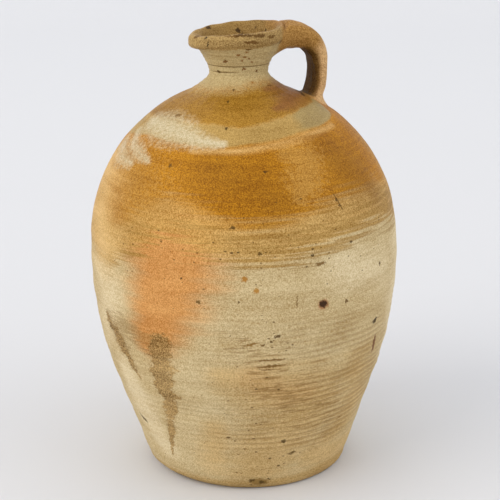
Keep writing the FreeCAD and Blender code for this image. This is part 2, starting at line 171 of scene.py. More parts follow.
rim = [
    (*COLLAR_FOOT, 0.0),
    below_rim(20.4, 8.8, -0.1),
    below_rim(15.2, 5.2, -0.4),
    below_rim(11.6, 3.0, -0.1),
    below_rim(9.6, 1.2, 0.6),
    below_rim(7.8, 0.25, 0.95),
    below_rim(5.5, 0.0, 1.0),
    below_rim(2.6, 0.2, 1.0),
    below_rim(0.8, 1.2, 1.0),
    below_rim(0.0, 3.2, 0.8),
    below_rim(0.9, 5.3, 0.3),
    below_rim(3.2, 7.0, -0.4),
    below_rim(7.0, 9.0, -0.4),
    below_rim(12.0, 12.2, -0.1),
    below_rim(20.8, 17.6, 0.0),
    (THROAT, THROAT_TOP, 0.0),
]
print(f"the rim has {len(rim)} stations")


# %% The rows of the mesh
def rows_of(points, step, outside):
    """Rows of one stretch of the profile: radius, height, the lip's share, and 1 outside or 0 inside."""
    spaced = divide(points, step) if points.shape[1] == 2 else points
    pull = spaced[:, 2] if spaced.shape[1] == 3 else np.zeros(len(spaced))
    return np.column_stack([spaced[:, :2], pull, np.full(len(spaced), outside)])


FLOOR_LEVEL = 1e-6
on_floor = outer_lower[:, 1] < FLOOR_LEVEL
base_line = outer_lower[on_floor]
wall_line = np.vstack([base_line[-1:], outer_lower[~on_floor]])
stretches = [
    rows_of(base_line, 9.0, 1),
    rows_of(wall_line, 1.05, 1),
    rows_of(outer_upper, 1.25, 1),
    rows_of(collar, 0.45, 1),
    rows_of(through(rim, 0.6), 0.6, 1),
    rows_of(throat, 1.6, 0),
    rows_of(inner_upper, 4.0, 0),
    rows_of(inner_lower, 5.0, 0),
]
loop = np.vstack([stretches[0]] + [stretch[1:] for stretch in stretches[1:]])
rows = dict(zip(("radius", "height", "pull", "outside"), loop.T))
crest = np.argmax(rows["height"])
print(f"the profile has {len(loop)} rows, and row {crest} is its highest")

# %% Lengths up the side
outline = np.vstack([stretch[:, :2] for stretch in stretches[:5]])
outline = outline[:np.argmax(outline[:, 1]) + 1]
outline_length = np.r_[0, np.cumsum(np.linalg.norm(np.diff(outline, axis=0), axis=1))]


def up_the_side(height):
    """Length along the outside of the pot, from the middle of its base up to a height."""
    side = outline[:, 1] > FLOOR_LEVEL
    return np.interp(height, outline[side, 1], outline_length[side])


print(f"the way from the middle of the base to the rim is {outline_length[-1]:.0f} mm")

# %% [markdown]
# ## What the hands left in the clay
#
# Fingers that rise while the wheel turns leave one long spiral of ridges. It is deep on the lower body,
# where the clay was drawn up fast, and nearly gone on the shoulder, which was smoothed with a rib. A
# noise texture would not follow the spiral, so its phase is worked out. Waves with random bearings add the
# slow unevenness of clay that was never measured.

# %% Waves
dice = np.random.default_rng(7)
MEAN_RADIUS = 110


def waves(bearing, along, longest, shortest, count):
    """Slow unevenness: a sum of cosines whose lengths lie between two sizes, scaled to about -1 to 1.

    Round the pot each wave repeats a whole number of times, so that it closes on itself.
    """
    total = np.zeros(np.broadcast(bearing, along).shape)
    for _ in range(count):
        length = shortest * (longest / shortest) ** dice.random()
        turns = dice.integers(0, max(1, int(2 * math.pi * MEAN_RADIUS / length)) + 1)
        rise = dice.choice([-1, 1]) * 2 * math.pi / length * dice.uniform(0.3, 1.0)
        total += np.cos(turns * np.radians(bearing) + rise * along + dice.uniform(0, 2 * math.pi))
    return total / math.sqrt(count / 2)


print(f"a wave that goes once round is {2 * math.pi * MEAN_RADIUS:.0f} mm long")

# %% The spiral of ridges
RIDGE_PITCH = 4.8


def smooth(t):
    """The smooth step 3t^2 - 2t^3, held at 0 and 1 outside its run."""
    t = np.clip(t, 0.0, 1.0)
    return t * t * (3.0 - 2.0 * t)


def bump_at(value, middle, half_width):
    """A bell curve, 1 at its middle and about a third at its half width; bearings go round the circle."""
    away = (value - middle + 180) % 360 - 180
    return np.exp(-((away / half_width) ** 2))


def ridges(bearing, height):
    """The spiral of throwing ridges, -1 in the hollows and 1 on the crests.

    Its phase rises by one turn for each pitch upwards and each turn round, with a slow wander.
    """
    wander = waves(bearing, height, 160, 30, 10)
    phase = 2 * math.pi * height / RIDGE_PITCH + np.radians(bearing) + 0.8 * wander
    return np.sin(phase + 0.4 * np.sin(phase))


def ridge_depth(bearing, height):
    """Depth of the ridges in millimetres: the lower body's, most of all where the throwing hand pressed."""
    low = smooth((height - 22) / 30) * (1 - smooth((height - 125) / 60))
    pressed = bump_at(bearing, 52, 38) + 0.8 * bump_at(bearing, -150, 50) + 0.15 * bump_at(bearing, -5, 40)
    patchy = np.clip(0.8 + 0.35 * waves(bearing, height, 90, 30, 12), 0.2, 1.5)
    return (0.02 + low * (0.05 + 0.32 * pressed)) * patchy


print(f"the spiral makes {BELLY[1] / RIDGE_PITCH:.0f} turns on its way up to the belly")

# %% Scored lines and the rest of the relief
SCORES = ((329.6, -10, 150), (324.9, -34, 42))  # height, middle bearing and half width of each cut
SCORE_WIDTH = 0.75


def score_lines(bearing, height):
    """Two lines cut into the waist: each a V, 1 at its bottom, that fades where the tool lifted."""
    cut = 0
    for level, middle, half_width in SCORES:
        drift = 0.3 * np.cos(np.radians(bearing) + level)
        groove = np.clip(1 - np.abs(height - level - drift) / SCORE_WIDTH, 0, 1)
        cut = np.maximum(cut, groove * bump_at(bearing, middle, half_width))
    return cut


def relief(bearing, height, grooves):
    """How far the surface lies inside the true profile, in millimetres, always more than nothing.

    It is the sum of the grooves, of slow and fine waves and of wide bands on the body, and of close wheel
    marks and the scored lines on the neck. It stops just under the rim's edge.
    """
    slow = 0.15 * waves(bearing, height, 120, 18, 26)
    fine = 0.03 * waves(bearing, height, 14, 6, 30)
    bands = 0.20 * smooth((225 - height) / 60) * np.sin(2 * math.pi * height / 23 + 0.3 * slow)
    inward = grooves + slow + fine + bands
    body = np.maximum(inward + 0.35, 0.0) * smooth((RIM_HEIGHT - 32 - height) / 16)
    turned = 1 + np.sin(height * 1.9 + 1.5 * waves(bearing, height, 60, 20, 6))
    wheel_marks = 0.10 * turned * smooth((height - 305) / 12)
    return body + wheel_marks * smooth((RIM_HEIGHT - 2 - height) / 8) + 0.55 * score_lines(bearing, height)


print("scored lines at heights", [level for level, middle, half_width in SCORES])

# %% The turned grid
COLUMNS = 360
FOOT_WEAR, WORN_SIDE = 4.5, -42  # how deep the foot's edge is worn away, and the bearing where most


def stand(bearing, radius, height):
    """Points from bearing, radius and height."""
    angle = np.radians(bearing + FACING)
    return np.stack([radius * np.cos(angle), radius * np.sin(angle), height + 0 * angle], axis=-1)


bearings = np.linspace(-180, 180, COLUMNS, endpoint=False)[None, :]
height = rows["height"][:, None]
outside = rows["outside"][:, None]
tangent = np.gradient(loop[:, :2], axis=0)
tangent /= np.maximum(np.linalg.norm(tangent, axis=1), 1e-9)[:, None]
normal = np.column_stack([tangent[:, 1], -tangent[:, 0]])
grooves = ridge_depth(bearings, height) * (1 - ridges(bearings, height))
inward = relief(bearings, height, grooves) * outside
inward *= smooth(height / 2.5)  # the base stays flat
radius = rows["radius"][:, None] - inward * normal[:, :1]
worn_foot = smooth((radius - 40) / 35) * (1 - smooth(height / 7)) * outside
radius = radius - FOOT_WEAR * bump_at(bearings, WORN_SIDE, 52) * worn_foot
pot = stand(bearings, radius, height - inward * normal[:, 1:])
print(f"the grid has {pot.shape[0]} x {pot.shape[1]} points, and its deepest mark is {inward.max():.1f} mm")

# %% [markdown]
# ## The lip and the lean
#
# While the rim was still soft, two fingers held it and a third drew it out and down into a pouring lip. The
# handle's weight and the potter's hands then pulled the rim out of level, and the neck leans a little. A
# lattice could bend the finished mesh, but moving the points by a formula keeps the marks where they are.

# %% The lip, the rim and the lean
LIP_PULL, LIP_DROOP = 3.4, 1.6
RIM_SLOPE = math.sin(math.radians(6.2))
HIGH_SIDE = (0.848, 0.53)  # the rim rises this way
LEAN = 1.8
RIGHT = np.array([math.cos(math.radians(VIEW_AZIMUTH)), math.sin(math.radians(VIEW_AZIMUTH)), 0.0])


def lip_shape(bearing):
    """How far each bearing is pulled out by the lip: a cubic B-spline bump, 1 at -X and 0 past 60 degrees."""
    away = np.abs((bearing - (180 - FACING) + 180) % 360 - 180) / 30.0
    near = 2 / 3 - away**2 + away**3 / 2
    far = np.clip(2 - away, 0, None) ** 3 / 6
    return np.where(away < 1, near, far) * 1.5


def rim_rise(share, x, y):
    """How far the sloping rim stands above a level one: its slope times the way towards its high side."""
    return share * RIM_SLOPE * (HIGH_SIDE[0] * x + HIGH_SIDE[1] * y)


def neck_lean(points):
    """The neck and handle lean a little to the camera's left, as the real ones do."""
    return points - LEAN * smooth((points[..., 2:] - 284) / 30) * RIGHT


lip = lip_shape(bearings)
pot[..., 0] -= LIP_PULL * rows["pull"][:, None] * lip
band_share = smooth((height - 341) / 5) * smooth((RIM_HEIGHT - height) / 6) * outside
pot[..., 2] -= LIP_DROOP * band_share * lip
pinch = 2.8 * bump_at(bearings, -8, 50) + 1.8 * bump_at(bearings, 106, 34)
pinch = pinch + 0.35 * waves(bearings, 0 * height, 200, 60, 10)
rim_share = np.clip((height - COLLAR_TOP) / (RIM_HEIGHT - COLLAR_TOP), 0, None)
uneven = pinch * smooth((rim_share - 0.15) / 0.7)
pot[..., 2] += rim_rise(np.minimum(rim_share, 1.0), pot[..., 0], pot[..., 1]) + uneven
pot = neck_lean(pot)
print(f"the rim's edge lies between {pot[crest, :, 2].min():.1f} and {pot[crest, :, 2].max():.1f} mm")


# %% Normals
def normals_of(grid):
    """Normals of a grid: the cross product of its steps along the columns and along the rows."""
    across = np.roll(grid, -1, axis=1) - np.roll(grid, 1, axis=1)
    cross = np.cross(across, np.gradient(grid, axis=0))
    return cross / np.maximum(np.linalg.norm(cross, axis=-1), 1e-9)[..., None]


pot_normals = normals_of(pot)
pot_normals[0], pot_normals[-1] = (0, 0, -1), (0, 0, 1)
away_from_axis = (pot_normals * pot)[1:crest, :, :2].sum(axis=-1)
print(f"{(away_from_axis > 0).mean():.0%} of the normals outside point away from the axis")

# %% [markdown]
# ## Where the fire touched it
#
# Ash, flame and shadow leave large marks with soft edges. Each one is a field on the surface, from 0 to 1
# with its edge at one half. A brush stroke is a chain of places with a half width at each, and a belt lies
# between two lines that go round the pot. They could be painted by hand, but a field that is worked out
# stays the same each run, goes all round the pot, and lets the material break its edge up later.

# %% Brush strokes
EDGE = 0.5


def stroke(bearing, along, radius, *places):
    """How much a brush stroke covers each point: 1 - d/2w, with d the way to its line and w its half width.

    places are (bearing, height, half width). The way is measured on the surface: bearings count as
    lengths at the point's own radius, and heights as lengths up the side.
    """
    cover = np.zeros(np.broadcast(bearing, along).shape)
    for (b0, h0, w0), (b1, h1, w1) in zip(places, places[1:]):
        s0, s1 = up_the_side(h0), up_the_side(h1)
        x = radius * np.radians((bearing - b0 + 180) % 360 - 180)
        dx, ds = radius * np.radians(b1 - b0), s1 - s0
        t = np.clip((x * dx + (along - s0) * ds) / np.maximum(dx**2 + ds**2, 1e-6), 0, 1)
        away = np.hypot(x - t * dx, along - s0 - t * ds)
        cover = np.maximum(cover, 1 - EDGE * away / (w0 + t * (w1 - w0)))
    return np.clip(cover, 0, 1)


print("on its line a stroke covers", stroke(0.0, up_the_side(100), 100, (0, 100, 5), (0, 120, 5)))

# %% Belts
def line_round(bearing, knots):
    """A line round the pot through (bearing, height) knots, closed on itself, as lengths up the side."""
    places, heights = np.array(knots, float).T
    reach = np.r_[places - 360, places, places + 360]
    level = np.interp(bearing, reach, np.tile(heights, 3))
    return up_the_side(level)


def belt(bearing, along, low, high, soft_low, soft_high):
    """1 between two lines round the pot, falling to 0 over a soft edge whose middle is on the line.

    A belt without a line is open on that side.
    """
    under = (along - line_round(bearing, low)) / soft_low if low else 1
    over = (line_round(bearing, high) - along) / soft_high if high else 1
    return np.clip(np.minimum(under, over) + EDGE, 0, 1)


print("on its line a belt covers", belt(0.0, up_the_side(100), [(0, 100)], None, 10, 10))

# %% [markdown]
# ## The marks of the body
#
# The lower body stayed nearly bare. The flame licked it orange on one side, where it blew through a gap
# between pots, and left it cream where another pot stood close. Tan is where thin ash dulled it.


# %% Cream, tan, flame and pits
def body_marks(paint):
    """Large patches of colour below the shoulder, and where bits of grit burnt out and left pits."""
    return {
        "cream": np.maximum.reduce([
            paint((-66, 190, 20), (-58, 165, 16), (-64, 135, 16)),
            paint((-56, 100, 12), (-52, 60, 14), (-46, 30, 10)),
            paint((86, 190, 26), (80, 150, 30), (78, 112, 16)),
            0.7 * paint((36, 190, 16), (58, 178, 16)),
        ]),
        "tan": np.maximum.reduce([
            paint((-8, 108, 12), (8, 102, 22), (30, 84, 26), (20, 60, 30), (6, 30, 26)),
            0.8 * paint((48, 100, 24), (56, 60, 20), (40, 30, 20)),
            paint((34, 26, 14), (52, 18, 16), (74, 16, 14)),
            0.9 * paint((-14, 60, 10), (-16, 30, 14)),
            0.9 * paint((110, 120, 34), (140, 70, 30)),
            0.9 * paint((-120, 150, 24), (-104, 90, 30)),
        ]),
        "flash": np.maximum(
            paint((-22, 232, 26), (-25, 215, 37), (-27, 200, 38), (-28, 180, 33), (-31, 158, 26),
                  (-34, 144, 21), (-37, 134, 14)),
            paint((150, 215, 25), (146, 170, 34), (150, 120, 18), (152, 95, 5)),
        ),
        "blush": np.maximum.reduce([
            paint((2, 110, 10), (12, 96, 12), (24, 92, 8)),
            paint((84, 296, 6), (80, 262, 16), (84, 235, 12)),
            paint((-100, 250, 20), (-104, 200, 18)),
        ]),
        "pitted": np.maximum(
            paint((-40, 205, 18), (-10, 212, 22), (30, 214, 24), (64, 205, 22)),
            paint((8, 140, 26), (4, 110, 30), (0, 60, 30), (6, 30, 22)),
        ),
    }


# %% [markdown]
# ## Drips and stains
#
# Where the ash melted it ran: two dark runs hang from the foot of the flame's patch, beside a smoky stain.
# The back has two more, which the photograph doesn't show. Dashes are dust that lies in the ridges.


# %% Runs, stains, dashes and the foot
FOOT_RING = [(0, 9), (60, 12), (120, 8), (180, 11), (-60, 10)]


def drip_marks(paint, bearing, along, height):
    """Runs that narrow downwards, the stain beside them, dashes, and the darker edge of the foot."""
    return {
        "run": np.maximum.reduce([
            paint((-32, 134, 9), (-33, 115, 11.5), (-34, 99, 9.5), (-33, 84, 7.5), (-36, 59, 4.2),
                  (-42, 26, 1.4)),
            0.80 * paint((-62, 140, 4), (-57, 132, 8), (-53, 121, 7), (-50, 110, 5.4), (-47, 96, 3)),
            paint((118, 165, 9), (117, 120, 8), (119, 90, 5), (118, 60, 2)),
            paint((-150, 120, 8), (-149, 90, 6), (-151, 66, 2)),
        ]),
        "wash": np.maximum(
            paint((-54, 140, 8), (-44, 138, 8), (-36, 132, 8)),
            0.84 * paint((-62, 144, 4), (-57, 136, 9), (-53, 123, 8)),
        ),
        "dash": 0.05 * (height < 215) + 0.33 * paint(
            (-2, 138, 12), (10, 122, 18), (14, 92, 26), (34, 70, 26)
        ),
        "foot": belt(bearing, along, None, FOOT_RING, 9, 10),
    }


# %% [markdown]
# ## The marks of the shoulder
#
# The shoulder faces up, so the ash fell on it and melted into a golden brown skin, the ochre. Its lower
# edge is a ragged line all round, given here as knots of bearing and height. Above it a crescent stayed
# bare, because something lay there in the kiln, and beside the crescent the ash stayed white and dry.

# %% The lines round the shoulder
OCHRE_LOW = [(-150, 224), (-110, 212), (-72, 208), (-56, 202), (-45, 214), (-30, 231), (-14, 222), (0, 213),
             (14, 215), (28, 222), (43, 227), (64, 229), (90, 220), (120, 206), (150, 222)]
BELT_LOW = [(-150, 276), (-110, 274), (-88, 276), (-59, 282), (-40, 281), (-19, 279), (-4, 280), (9, 282),
            (20, 283.5), (33, 286), (45, 287), (65, 289), (78, 292), (110, 300), (150, 288)]
BELT_HIGH = [(-150, 282), (-110, 288), (-88, 291), (-54, 293.5), (-28, 293.5), (-17, 293), (-1, 291.5),
             (8, 292.5), (19, 294.5), (32, 297), (50, 299), (78, 300), (110, 302), (150, 291)]
NECK_FOOT = [(-180, 311), (-45, 311), (-23, 312), (0, 313), (12, 315), (40, 316), (59, 316), (110, 312)]


def raised(line, up):
    """The same line, some millimetres higher."""
    return [(place, level + up) for place, level in line]


print(f"knots: {len(OCHRE_LOW)} on the ochre's edge, {len(BELT_LOW)} and {len(BELT_HIGH)} round the crescent")


# %% Ochre, crescent and ash
def shoulder_marks(paint, bearing, along, height):
    """The ochre with its straw-coloured lower edge, what lies in it, the bare crescent, and the dry ash."""
    belt_end = smooth((75 + 1.3 * (height - 288) - bearing) / 4)
    return {
        "straw": belt(bearing, along, raised(OCHRE_LOW, -14), None, 26, 10),
        "ochre": belt(bearing, along, raised(OCHRE_LOW, 14), None, 34, 10),
        "scorch": np.maximum(
            paint((44, 272, 14), (52, 256, 22), (60, 238, 12)),
            0.7 * paint((-14, 264, 16), (6, 256, 22), (12, 244, 20)),
        ),
        "pale": np.maximum.reduce([
            paint((20, 274, 6), (30, 270, 12), (26, 255, 13), (22, 246, 6)),
            paint((-84, 268, 12), (-80, 240, 20), (-66, 214, 20)),
            0.76 * paint((-64, 264, 16), (-52, 252, 26), (-42, 238, 26)),
            0.8 * paint((84, 268, 12), (86, 236, 14)),
        ]),
        "glow": np.maximum(
            paint((-96, 256, 16), (-82, 240, 26), (-70, 222, 30), (-62, 204, 22)),
            0.62 * paint((-24, 276, 2), (-4, 277, 3), (9, 279, 4), (33, 283, 4.5), (48, 285, 4),
                         (62, 286, 3)),
        ),
        "band": (0.55 - 0.30 * bump_at(bearing, -26, 24)) * belt(
            bearing, along, raised(OCHRE_LOW, -24), raised(OCHRE_LOW, 12), 14, 16
        ),
        "golden": belt(bearing, along, BELT_HIGH, NECK_FOOT, 6, 22),
        "bare": belt(bearing, along, BELT_LOW, BELT_HIGH, 7, 9) * belt_end * smooth((bearing + 150) / 50),
        "bare_end": belt(bearing, along, BELT_LOW, BELT_HIGH, 6, 5) * belt_end * smooth((bearing - 12) / 50),
        "ash": np.maximum.reduce([
            paint((-66, 289, 9), (-52, 289, 12), (-40, 287, 11), (-27, 283.5, 7), (-10, 281, 3)),
            0.85 * paint((-74, 281, 4), (-66, 273, 6), (-56, 270, 6), (-46, 266, 2)),
            0.75 * paint((-80, 270, 7), (-70, 264, 8), (-58, 262, 4)),
        ]),
    }


# %% [markdown]
# ## The marks of the neck and the handle
#
# The collar hid the neck from the ash, so it stayed grey tan, with a purple cloud of smoke at the root of
# the handle. The band of the rim and the strap caught more fire and are browner, and a painted shadow lies
# along the line where the strap is pressed on the shoulder.


# %% Neck, rim, smoke and strap
def level_height(points):
    """Height of points with the slope of the rim taken out."""
    share = np.clip((points[..., 2] - COLLAR_TOP) / (RIM_HEIGHT - COLLAR_TOP), 0, 1)
    return points[..., 2] - rim_rise(share, points[..., 0], points[..., 1])


def neck_marks(paint, bearing, along, points):
    """The bare neck, the browner rim, smoke beside the handle, and painted shadow at the strap's foot."""
    beside_strap = smooth((30 - np.abs(points[..., 1])) / 10) * smooth((points[..., 2] - 322) / 12)
    return {
        "neck": belt(bearing, along, NECK_FOOT, None, 26, 10),
        "smoke": np.maximum(
            paint((28, 301, 3), (44, 303, 8), (62, 306, 13), (84, 307, 14), (104, 307, 14)),
            0.9 * paint((36, 312, 3), (56, 312, 6), (80, 312, 8)),
        ),
        "rim": smooth((level_height(points) - 343) / 4),
        # A painted shadow: a dark line where the strap's foot is pressed on the shoulder.
        "strap_seam_shadow": paint((82, 303.5, 1.5), (96, 304.8, 2.5), (120, 304.8, 2.5), (134, 303.5, 1.5)),
        "strap": smooth((points[..., 0] - 18) / 18) * beside_strap,
    }


# %% All the marks at once
def fire_marks(points):
    """Every mark's field at some points of the outside, by name."""
    bearing = bearing_of(points)
    height = points[..., 2]
    radius = np.hypot(points[..., 0], points[..., 1])
    along = up_the_side(height)

    def paint(*places):
        """A stroke through some places, as it covers these points."""
        return stroke(bearing, along, radius, *places)

    return {
        **body_marks(paint),
        **drip_marks(paint, bearing, along, height),
        **shoulder_marks(paint, bearing, along, height),
        **neck_marks(paint, bearing, along, points),
    }


marks = fire_marks(pot)
# How deep each groove is: it darkens the clay, as brown dust and as painted shade of the ridges.
marks["groove_dust_and_shade"] = np.clip(grooves / 0.45, 0, 1) ** 1.5
marks["inside"] = np.broadcast_to(1 - outside, grooves.shape)
in_mouth = (np.arange(len(loop)) > crest) & (rows["height"] > 300)
marks["mouth"] = np.broadcast_to(in_mouth[:, None], grooves.shape).astype(float)
marks["score"] = score_lines(bearings, height) * outside
print("marks:", ", ".join(marks))

# %% [markdown]
# ## Skins
#
# A grid becomes a mesh by joining each point to its neighbours. The pot's pieces share the rows where they
# meet, and take their normals from the whole pot, so that a joint which the fire has closed doesn't show.


# %% From a grid to a piece
def skin(name, grid, normals, marks, closed_ring):
    """A mesh from a grid of points in millimetres: quads between neighbours, columns closed on themselves.

    A closed ring joins its last row to its first. Otherwise each end is drawn together to one point.
    """
    count, columns = grid.shape[:2]
    index = np.arange(count * columns).reshape(count, columns)
    lower = index if closed_ring else index[:-1]
    upper = np.roll(index, -1, axis=0) if closed_ring else index[1:]
    faces = np.stack([lower, np.roll(lower, -1, axis=1), np.roll(upper, -1, axis=1), upper], axis=-1)
    faces = faces.reshape(-1, 4).tolist()
    points = grid.reshape(-1, 3)
    normals = normals.reshape(-1, 3)
    values = {mark: np.broadcast_to(value, grid.shape[:2]).reshape(-1) for mark, value in marks.items()}
    if not closed_ring:
        for end, turned in ((0, True), (count - 1, False)):
            pole = len(points)
            points = np.vstack([points, grid[end].mean(axis=0)])
            normals = np.vstack([normals, normals[index[end, 0]]])
            values = {mark: np.append(value, value[index[end, 0]]) for mark, value in values.items()}
            ring = index[end]
            pairs = np.column_stack([ring, np.roll(ring, -1), np.full(columns, pole)])
            faces += (pairs[:, ::-1] if turned else pairs).tolist()
    mesh = bpy.data.meshes.new(name)
    mesh.from_pydata((points * MM).tolist(), [], faces)
    mesh.polygons.foreach_set("use_smooth", np.ones(len(mesh.polygons), bool))
    for mark, value in values.items():
        layer = mesh.attributes.new(mark, "FLOAT", "POINT")
        layer.data.foreach_set("value", value.astype(np.float32))
    mesh.update()
    mesh.normals_split_custom_set_from_vertices(normals.tolist())
    piece = bpy.data.objects.new(name, mesh)
    bpy.context.scene.collection.objects.link(piece)
    triangles = sum(len(face) - 2 for face in faces)
    print(f"{name}: {triangles} triangles")
    return piece


# %% The thrown pieces
cut_lower = len(stretches[0]) + len(stretches[1]) - 2
cut_upper = cut_lower + len(stretches[2]) - 1
neck_end = cut_upper + len(stretches[3]) + len(stretches[4]) + len(stretches[5]) - 3
upper_end = neck_end + len(stretches[6]) - 1
last = len(loop) - 1


def piece_of(name, *spans, closed_ring):
    """Cuts one piece's rows out of the whole pot."""
    chosen = np.concatenate([np.arange(first, end + 1) for first, end in spans])
    picked = {mark: value[chosen] for mark, value in marks.items()}
    return skin(name, pot[chosen], pot_normals[chosen], picked, closed_ring)


lower_skin = piece_of("thrown_lower_body", (1, cut_lower), (upper_end, last - 1), closed_ring=False)
upper_skin = piece_of("thrown_shoulder", (cut_lower, cut_upper), (neck_end, upper_end), closed_ring=True)
neck_skin = piece_of("thrown_neck_and_lip", (cut_upper, neck_end), closed_ring=True)

# %% [markdown]
# ## The strap
#
# The handle is pulled from a lump of clay, laid on the rim, bent over and pressed on the shoulder. It is
# an oval carried along a path of a straight run and two arcs. A curve object with a bevel could do that,
# but its section couldn't thicken under the arch as pulled clay does, nor open at its ends.

# %% The strap's path
ARCH_START, STRAP_HEIGHT, ARCH_RADIUS = 42.5, 351.6, 22.2
RUN_LENGTH = 10.0
LEAN_RADIUS, LEAN_ANGLE = 120.0, math.radians(17.5)
TAIL_LEFT_OFF = 0.075  # radians of the lean that the trumpet at the shoulder takes over


def strap_path(step):
    """Centre line and heading of the strap, from the rim to the shoulder: a run, an arch and a lean."""
    arch_length = ARCH_RADIUS * math.pi / 2
    lean_length = LEAN_RADIUS * (LEAN_ANGLE - TAIL_LEFT_OFF)
    along = np.arange(0, RUN_LENGTH + arch_length + lean_length, step)
    flat = np.minimum(along, RUN_LENGTH)
    arch = np.clip(along - RUN_LENGTH, 0, arch_length) / ARCH_RADIUS
    lean = np.clip(along - RUN_LENGTH - arch_length, 0, None) / LEAN_RADIUS
    x = ARCH_START - RUN_LENGTH + flat + ARCH_RADIUS * np.sin(arch) - LEAN_RADIUS * (1 - np.cos(lean))
    z = STRAP_HEIGHT - ARCH_RADIUS * (1 - np.cos(arch)) - LEAN_RADIUS * np.sin(lean)
    return along, x, z, arch + lean


along_strap, path_x, path_z, down = strap_path(0.8)
print(f"the strap is {along_strap[-1]:.0f} mm long and turns by {math.degrees(down[-1]):.0f} degrees")

# %% The strap's section
STRAP_STATIONS = np.array([
    # along the path, width, thickness, and what is added under it
    (0, 33.5, 17.8, 3.6),
    (10, 31.0, 17.2, 4.4),
    (20, 30.2, 14.6, 4.4),
    (30, 29.4, 12.2, 4.2),
    (40, 29.0, 10.8, 2.6),
    (52, 29.2, 10.3, 0.6),
    (64, 29.8, 10.4, 0.0),
    (90, 31.0, 11.0, 0.0),
])
SIDES = 128
OVAL = 2.7  # 2 is an ellipse, and a larger number is squarer


def squircle(angle):
    """Cosine and sine drawn out to a rounded oblong: |cos|^p and |sin|^p with p = 2/n, with their signs."""
    power = 2.0 / OVAL
    cos, sin = np.cos(angle), np.sin(angle)
    return np.sign(cos) * np.abs(cos) ** power, np.sign(sin) * np.abs(sin) ** power


def along_the_strap(sizes):
    """One size at each place of the path: straight from station to station, then eased by a bell curve."""
    ease = np.hanning(15)
    ease /= ease.sum()
    at_places = np.interp(along_strap, STRAP_STATIONS[:, 0], sizes)
    return np.convolve(np.pad(at_places, 7, mode="edge"), ease, mode="valid")[:, None]


width, thick, under = (along_the_strap(sizes) for sizes in STRAP_STATIONS.T[1:])
side_angle = np.linspace(0, 2 * math.pi, SIDES, endpoint=False)
side_share, face_share = squircle(side_angle)
groove = 0.5 * np.exp(-((side_share / 0.30) ** 2)) * (face_share > 0)  # a finger's track along the top
offset_y = width / 2 * side_share
offset_n = thick / 2 * face_share - under * np.maximum(-face_share, 0)
offset_n = offset_n - groove * smooth((along_strap[:, None] - 12) / 20)
wobble = 0.22 * waves(np.degrees(side_angle)[None, :], along_strap[:, None] * 2.0, 90, 20, 16)
offset_n = offset_n + wobble * np.sign(face_share) * np.abs(face_share)
strap = np.stack([
    path_x[:, None] + np.sin(down)[:, None] * offset_n,
    offset_y,
    path_z[:, None] + np.cos(down)[:, None] * offset_n,
], axis=-1)
heading = np.stack([np.cos(down), 0 * down, -np.sin(down)], axis=-1)
print(f"the strap is {width.min():.0f} to {width.max():.0f} mm wide")

# %% [markdown]
# ## Where the strap meets the pot
#
# The potter works the ends into the pot with a wet thumb, so no edge is left. Each end opens like a
# trumpet: a curve with set directions at both ends leaves the pot along its surface and joins the strap
# along its path. A Boolean with a bevel would leave a rim of even width, which looks machined.

# %% Places on the pot
side_rows = (rows["outside"] > 0) & (np.arange(len(loop)) <= crest)
neck_rows = side_rows & (rows["height"] > 318)
neck_heights, neck_radii = rows["height"][neck_rows], rows["radius"][neck_rows]
shoulder_rows = side_rows & (rows["height"] > 240) & (rows["height"] < 315)
shoulder_heights, shoulder_radii = rows["height"][shoulder_rows], rows["radius"][shoulder_rows]
BELOW_EDGE = 0.4


def on_neck(y, height):
    """The place on the outside of the sloping neck, on the handle's side, at some y and height.

    The slope moves a place up by an amount that depends on its radius, so both are found in a few rounds.
    """
    level = height.copy()
    for _ in range(6):
        level = np.minimum(level, RIM_HEIGHT - BELOW_EDGE)
        radius = np.interp(level, neck_heights, neck_radii)
        x = np.sqrt(np.maximum(radius**2 - y**2, 1.0))
        tilt = rim_rise(np.clip((level - COLLAR_TOP) / (RIM_HEIGHT - COLLAR_TOP), 0, 1), x, y)
        level = height - tilt
    level = np.minimum(level, RIM_HEIGHT - BELOW_EDGE)
    return np.stack([x, y, level + tilt], axis=-1)


def on_shoulder(x, y):
    """The place on the shoulder straight above or below x and y."""
    radius = np.hypot(x, y)
    return np.stack([x, y, np.interp(-radius, -shoulder_radii, shoulder_heights)], axis=-1)


print(f"the waist of the neck is {2 * neck_radii.min():.1f} mm across")

# %% Trumpet-shaped ends
TRUMPET_ROWS = 16


def trumpet(ring, ring_heading, foot, foot_heading, reach):
    """Rows from a foot on the pot to a ring of the strap: the cubic with set headings at both ends.

    With t from 0 to 1, it is the foot and the ring blended by the Hermite weights, and each heading,
    times its reach, by the weights that move only a curve's direction.
    """
    t = np.linspace(0, 1, TRUMPET_ROWS)[:, None, None]
    from_foot, to_ring = 2 * t**3 - 3 * t**2 + 1, 3 * t**2 - 2 * t**3
    leave, arrive = t**3 - 2 * t**2 + t, t**3 - t**2
    turned = reach[0] * leave * foot_heading
    return from_foot * foot + to_ring * ring + turned + reach[1] * arrive * ring_heading


def unit(vectors):
    """The same directions, each 1 long: a vector over its length."""
    return vectors / np.maximum(np.linalg.norm(vectors, axis=-1), 1e-9)[..., None]


SUNK = 0.5  # how far the foot of each trumpet is pressed under the pot's surface
INNER = 0.86  # a smaller copy of each foot gives the direction in which the trumpet leaves the pot
foot_y, foot_z = 21.0 * side_share, 348.5 + np.where(face_share > 0, 8.5, 18.0) * face_share
root_foot = on_neck(foot_y, foot_z)
root_inner = on_neck(INNER * foot_y, 349.5 + INNER * (foot_z - 349.5))
root_heading = unit(root_inner - root_foot)
root_foot = root_foot - SUNK * np.array([1.0, 0, 0])

